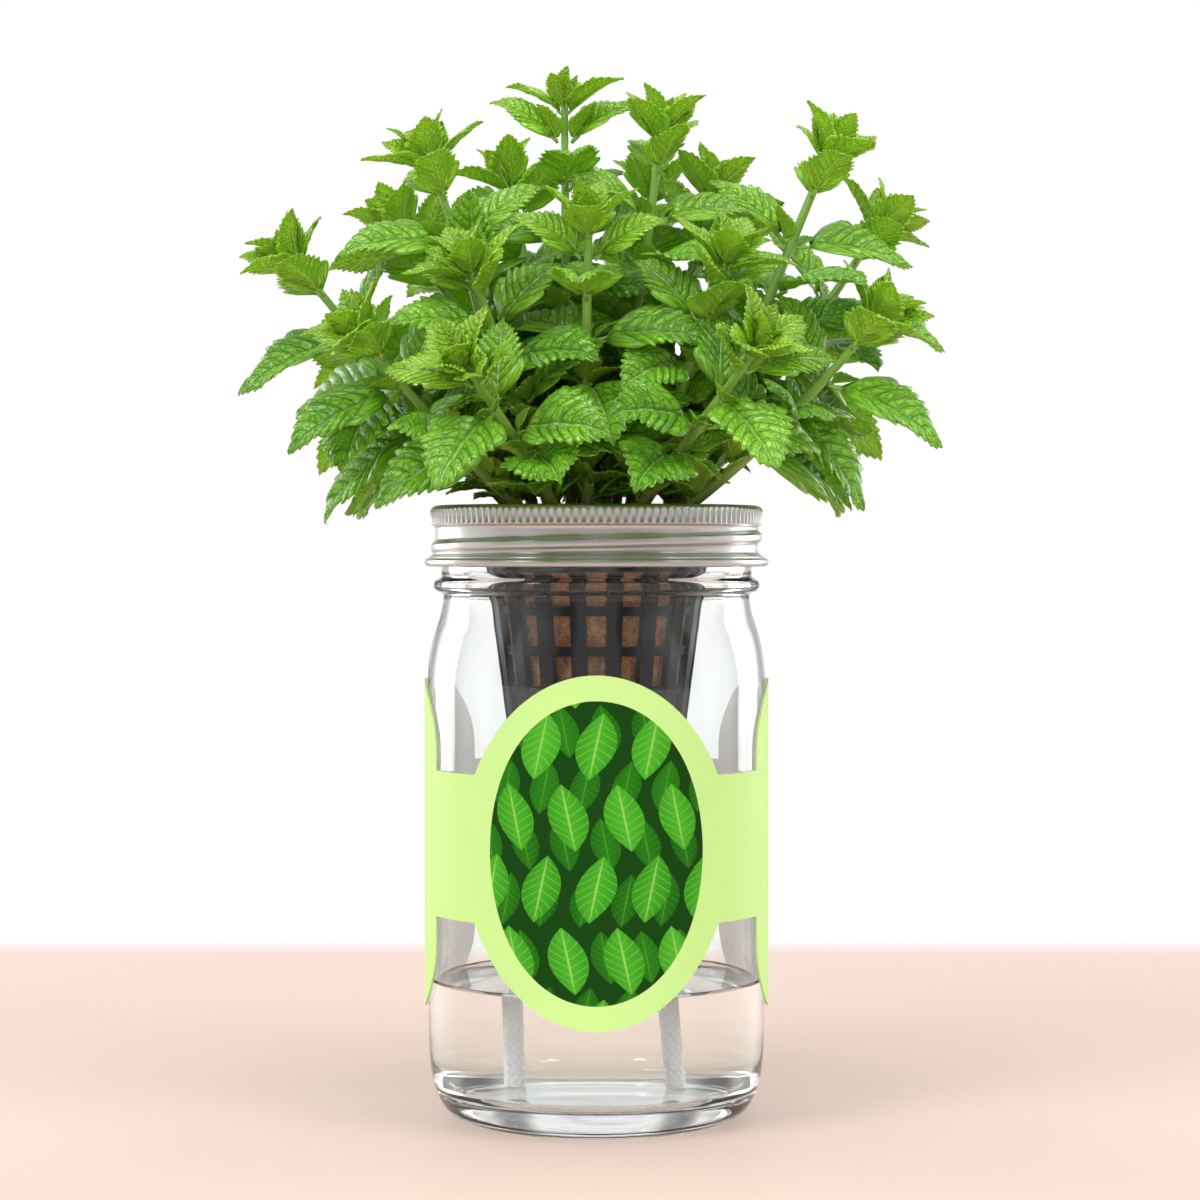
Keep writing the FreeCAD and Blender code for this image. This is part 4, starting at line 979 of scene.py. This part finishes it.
# One toothed, quilted leaf on its stalk: its points, its faces, each point's tint (its second part is
# the leaf's age, the third is 1 on the underside, the fourth is the leaf's chance) and its place on the leaf
def leafMesh(leaf, age, rng, teeth, halfColumns):
    spine, side, face, steep, broad = leaf
    s = leafSizes
    rows, count = teeth * s["rowsPerTooth"], 2 * halfColumns + 1
    stations = np.linspace(0, 1, 61)
    middles, length = curveThrough(spine, stations)
    blade = length * (1 - s["stalkShare"])
    steep = steep * (0.9 + 0.2 * rng.random())  # no two leaves fold alike
    wave = rng.random() * 2 * math.pi
    share = np.linspace(0, 1, rows + 1)[:, None] * np.ones(count)
    across = np.linspace(-1, 1, count)
    across = np.sign(across) * np.abs(across) ** 0.85 * np.ones((rows + 1, 1))  # closer near the edges
    out = np.abs(across)
    lean = s["veinSlant"] * np.minimum(1, share / 0.12) ** 0.7 * (1 - share) ** 0.7  # rows slant as veins do
    place = np.minimum(1, share + lean * out**1.15)
    wide = np.interp(place, *np.array(s["outline"]).T) * blade * broad
    saw = np.sin(math.pi * (share * teeth % 1) ** s["toothSkew"]) - 0.5  # from -0.5 to 0.5, leaning forward
    edge = np.clip((out - 0.55) / 0.45, 0, 1) ** 2  # teeth start in from the edge, and spare both ends
    edge = edge * np.minimum(1, share / 0.06) * np.minimum(1, (1 - share) / 0.03)
    wide *= 1 + s["toothDepth"] * saw * edge
    place = np.minimum(1, place + s["toothLean"] * saw * edge)
    spots = s["stalkShare"] + (1 - s["stalkShare"]) * place
    middle = np.stack([np.interp(spots, stations, middles[:, axis]) for axis in range(3)], axis=-1)
    pillow = np.sin(math.pi * (share * s["veins"] % 1)) ** 0.5  # cushions between the veins, flat at the ends
    pillow = pillow * np.sin(math.pi * np.minimum(1, out**0.75 * 0.96 + 0.02)) ** 0.6
    pillow = pillow * ((1 - share) ** 0.35 * np.minimum(1, share / 0.05))
    rise = steep * wide * out * (1.25 - 0.55 * out) + s["quilt"] * blade * pillow  # the fold eases outward
    rise += s["ripple"] * blade * np.sin(21 * share + across * 5 + wave)
    rise += s["wave"] * blade * np.sin(2.2 * math.pi * share + wave) * out**2
    flat = wide * across * math.cos(steep * 0.8)  # a folded leaf is narrower
    grid = middle + side * flat[..., None] + face * rise[..., None]
    normals = np.cross(np.gradient(grid, axis=0), np.gradient(grid, axis=1))
    normals /= np.linalg.norm(normals, axis=2, keepdims=True) + 1e-12
    isUpwards = normals[rows // 2, halfColumns] @ face > 0
    if not isUpwards:
        normals = -normals
    grown = min(1, length / (s["fullLength"] * mm))
    thin = s["thickness"] * mm * (0.4 + 0.6 * grown)  # small leaves are thinner, and so is each tip
    under = grid - normals * thin * np.linspace(1.0, 0.6, rows + 1)[:, None, None]
    sheet = (rows + 1) * count
    names = np.arange(sheet).reshape(rows + 1, count)
    corners = [names[:-1, :-1], names[:-1, 1:], names[1:, 1:], names[1:, :-1]]
    quads = np.stack(corners, axis=-1).reshape(-1, 4)
    rim = np.r_[names[0], names[1:, -1], names[-1, -2::-1], names[-2:0:-1, 0]]
    band = np.stack([np.roll(rim, -1), rim, rim + sheet, np.roll(rim, -1) + sheet], axis=-1)
    faces = np.vstack([quads, quads[:, ::-1] + sheet, band])
    if isUpwards:
        faces = faces[:, ::-1]
    stalkLine = curveThrough(spine[:2], np.array([0, 0.35, 0.7, 1.05]))[0] - face * 0.0003
    stalkRadius = s["stalkWidth"] * mm / 2 * (0.45 + 0.55 * grown)
    stalk, stalkFaces = tube(stalkLine, [stalkRadius] * 4, s["stalkSides"])
    points = np.vstack([grid.reshape(-1, 3), under.reshape(-1, 3), stalk])
    tint = np.zeros((len(points), 4), np.float32)
    tint[:, 1] = age
    tint[sheet : 2 * sheet, 2] = 1
    tint[:, 3] = rng.random()
    prints = np.zeros((len(points), 2), np.float32)
    prints[: 2 * sheet] = np.tile(np.stack([across, share], axis=-1).reshape(-1, 2), (2, 1))
    faces = [tuple(entry) for entry in faces.tolist()]
    return points, faces + [tuple(item + 2 * sheet for item in entry) for entry in stalkFaces], tint, prints


# A closed tube of rings square to a line
def tube(line, radii, sides):
    headings = np.gradient(line, axis=0)
    headings /= np.linalg.norm(headings, axis=1, keepdims=True) + 1e-12
    across = unit(np.cross(headings[0], (0.31, 0.77, 0.55)))  # a slant that no stem or stalk runs along
    points = []
    for spot, heading, radius in zip(line, headings, radii):
        across = unit(across - heading * (across @ heading))
        beside = np.cross(heading, across)
        for step in range(sides):
            turn = 2 * math.pi * step / sides
            points.append(spot + (across * math.cos(turn) + beside * math.sin(turn)) * radius)
    faces = [tuple(range(sides))[::-1]]
    for ring in range(len(line) - 1):
        for step in range(sides):
            a, b = ring * sides + step, ring * sides + (step + 1) % sides
            faces.append((a, b, b + sides, a + sides))
    last = (len(line) - 1) * sides
    faces.append(tuple(last + step for step in range(sides)))
    return np.array(points), faces


# The middles and widths of a solid stem's rings, from its foot up
def stemLine(mesh):
    points, _ = uniquePoints(mesh)
    rings = points[np.argsort(points[:, 2])].reshape(-1, 4, 3)
    centres = rings.mean(axis=1)
    return centres, np.linalg.norm(rings - centres[:, None], axis=2).mean(axis=1)


# A square stem that swells a little where its leaves leave it
def stemMesh(centres, widths, leafFeet):
    s = stemSizes
    shares = np.linspace(0, 1, s["rings"])
    line, _ = curveThrough(centres, shares)
    near = np.min([np.linalg.norm(line - foot, axis=1) for foot in leafFeet], axis=0)
    radii = np.interp(shares, np.linspace(0, 1, len(widths)), widths) * s["fit"]
    radii = radii * (1 + s["swell"] * np.exp(-((near / (s["swellReach"] * mm)) ** 2)))
    points, faces = tube(line, radii, s["sides"])
    ring = points.reshape(-1, s["sides"], 3)
    turns = np.arange(s["sides"]) * 2 * math.pi / s["sides"]
    squared = 1 - s["square"] * (1 - np.cos(4 * turns)) / 2
    ring = line[:, None] + (ring - line[:, None]) * squared[None, :, None]
    tint = np.zeros((len(points), 4), np.float32)
    tint[:, 1] = np.repeat(1 - shares, s["sides"])
    return ring.reshape(-1, 3), faces, tint


# Fresh mint: yellower in the young tips, with pale midribs, painted shade in the sunk veins and creases,
# a painted highlight on the cushions between them, and a paler underside, partly its own and partly painted
# light
def leafMaterial():
    look = plantLook
    material, tree, shader = newMaterial("mintLeaf", look["leaf"])
    do = partial(maths, tree)
    tone = addNode(tree, "ShaderNodeAttribute", attribute_name="tone").outputs
    # under is 1 on the underside, which is drawn paler: partly its own green, partly painted light against
    # the shade from above
    _, age, under = addNode(tree, "ShaderNodeSeparateColor", tone["Color"]).outputs
    chance = tone["Alpha"]
    cloud = noise(tree, objectPlace(tree), 150.0, 3.0)
    shift = do("MULTIPLY_ADD", do("SUBTRACT", chance, 0.5), 0.35, cloud)
    place = addNode(tree, "ShaderNodeUVMap", uv_map="leaf").outputs[0]
    across, along, _ = parted(tree, place)
    out = do("ABSOLUTE", across)
    phase = do("FRACT", do("MULTIPLY", along, float(leafSizes["veins"])))
    sunkVeinShade = ranged(tree, do("MINIMUM", phase, do("SUBTRACT", 1.0, phase)), 0.02, 0.12, 1.0, 0.0)
    sunkVeinShade = do("MULTIPLY", sunkVeinShade, ranged(tree, out, 0.75, 0.98, 1.0, 0.0, "LINEAR"))
    midrib = ranged(tree, out, 0.02, 0.05, 1.0, 0.0)
    trough = ranged(tree, out, 0.05, 0.12, 1.0, 0.0)
    net = joined(tree, do("MULTIPLY", across, 5.0), do("MULTIPLY", along, 15.0), chance)
    size = {"Scale": 1.0}
    cells = addNode(tree, "ShaderNodeTexVoronoi", net, feature="DISTANCE_TO_EDGE", more=size)
    crease = ranged(tree, cells.outputs["Distance"], 0.01, 0.16, 1.0, 0.0)
    # the sunk veins, creases and groove beside the midrib, used for the relief and for their painted shade
    sunk = do("MAXIMUM", do("MULTIPLY", crease, 0.6), do("MAXIMUM", sunkVeinShade, trough))
    body = mixed(tree, age, tones(tree, shift, *look["young"]), tones(tree, shift, *look["old"]))
    # painted highlight: the cushions between the sunk lines are lightened
    body = mixed(tree, do("MULTIPLY_ADD", sunk, -0.3, 0.3), body, look["cushionHighlight"])
    # painted shade darkens the sunk lines; the underside is paler, partly its own green and partly painted
    # light
    for share, most, colour in ((sunk, 0.62, "sunkVeinShade"), (midrib, 0.7, "midrib"), (under, 0.6, "under")):
        body = mixed(tree, do("MULTIPLY", share, most), body, look[colour])
    fill(shader, {"Base Color": body})
    relief(tree, shader, sunk, *look["relief"], invert=True)
    return material


# Light green stems, olive brown towards the foot
def stemMaterial():
    look = plantLook
    material, tree, shader = newMaterial("mintStem", {"Roughness": look["stemRoughness"]})
    tone = addNode(tree, "ShaderNodeAttribute", attribute_name="tone").outputs["Color"]
    down = addNode(tree, "ShaderNodeSeparateColor", tone).outputs[1]
    cloud = noise(tree, objectPlace(tree), 240.0, 4.0)
    shift = maths(tree, "MULTIPLY_ADD", cloud, 0.3, down)
    lower = ranged(tree, shift, 0.9, 1.25, 0.0, 1.0, "LINEAR")
    fill(shader, {"Base Color": mixed(tree, lower, tones(tree, shift, *look["stem"]), look["stemFoot"])})
    relief(tree, shader, cloud, *look["stemRelief"])
    return material


def toned(piece, tint):
    layer = piece.data.color_attributes.new("tone", "FLOAT_COLOR", "POINT")
    layer.data.foreach_set("color", np.asarray(tint, np.float32).ravel())


# One shoot's leaves: those of its solids, each with a small one in its corner, the crowd at the tip
# and those low on the stem. Also the places where the solids' leaves leave the stem
def shootLeaves(solids, centres, rng):
    read = [readLeaf(island) for island in solids]
    heights = [spine[0][2] for spine, *_ in read]
    low, high = min(heights), max(heights)
    full = (leafSizes["teeth"], leafSizes["halfColumns"])
    small = (smallLeaf["teeth"], smallLeaf["halfColumns"])
    crowded = (smallLeaf["tipTeeth"], smallLeaf["tipHalfColumns"])
    leaves = []
    for leaf in read:
        spine = leaf[0]
        down = (high - spine[0][2]) / max(high - low, mm)
        age = min(1.0, 0.1 + 1.6 * down) * (0.85 + 0.15 * rng.random())  # 0 is young and yellow, 1 is old
        leaves.append((leaf, age, *full))
        outward = unit(spine[3] - spine[0])
        stem = centres[np.argmin(np.linalg.norm(centres[:-1] - spine[0], axis=1))]
        upward = unit(centres[-1] - stem)
        spread = math.tan(math.radians(cornerLeaves["spread"]))
        aside = np.cross(upward, outward) * spread * rng.choice((-1, 1))
        length = rng.uniform(*cornerLeaves["length"]) * mm
        corner = youngLeaf(spine[0], unit(outward + aside), upward, cornerLeaves["lift"], length)
        leaves.append((corner, age * 0.7, *small))
    heading = unit(centres[-1] - centres[-3])
    first = unit(np.cross(heading, (0.2, 1.0, 0.1)))
    second = np.cross(heading, first)
    spin = rng.random() * math.pi
    for length, lift, turn, below in tipLeaves:
        turn = math.radians(turn) + spin
        outward = first * math.cos(turn) + second * math.sin(turn)
        place = centres[-1] - heading * below * mm
        leaf = youngLeaf(place, outward, heading, math.radians(lift), length * mm, smallLeaf["tipWide"])
        leaves.append((leaf, 0.05 + 0.15 * rng.random(), *crowded))  # all young
    line, _ = curveThrough(centres, np.array(footLeaves["shares"]))
    for place in line:
        turn = rng.random() * 2 * math.pi
        for side in (0, math.pi):
            outward = np.array([math.cos(turn + side), math.sin(turn + side), 0])
            length = rng.uniform(*footLeaves["length"]) * mm
            for lift in footLeaves["lifts"][rng.randrange(4) :]:  # ever steeper, until it clears the band
                leaf = youngLeaf(place, outward, np.array([0, 0, 1.0]), lift + 0.3 * rng.random(), length)
                if leaf[0][1:, 2].min() > footLeaves["lowest"] * mm:
                    leaves.append((leaf, 0.75 + 0.25 * rng.random(), *small))
                    break
    return leaves, [leaf[0][0] for leaf in read]


def makePlant():
    rng = random.Random(plantLook["seed"])
    leafGreen, stemGreen = leafMaterial(), stemMaterial()
    for shoot in sorted(node[:-5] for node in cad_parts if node.endswith("_stem")):
        centres, widths = stemLine(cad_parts[shoot + "_stem"].data)
        _, solids = uniquePoints(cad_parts[shoot + "_leaves"].data)
        leaves, feet = shootLeaves(solids, centres, rng)
        points, faces, tints, prints = [], [], [], []
        count = 0
        for leaf, age, teeth, halfColumns in leaves:
            leafPoints, leafFaces, leafTint, leafPrints = leafMesh(leaf, age, rng, teeth, halfColumns)
            points.append(leafPoints)
            faces += [tuple(item + count for item in entry) for entry in leafFaces]
            tints.append(leafTint)
            prints.append(leafPrints)
            count += len(leafPoints)
        number = shoot[-2:]
        shape = np.clip(np.vstack(points), *cadBox)
        piece = newPiece(
            "mintLeaves" + number, shape, faces, leafGreen, "plant", "mint_leaf", shoot + "_leaves"
        )
        toned(piece, np.vstack(tints))
        printed(piece.data, "leaf", np.vstack(prints))
        points, faces, tint = stemMesh(centres, widths, feet)
        piece = newPiece(
            "mintStem" + number, points, faces, stemGreen, "plant", "mint_stem", shoot + "_stem"
        )
        toned(piece, tint)


makePlant()
print("plant built")
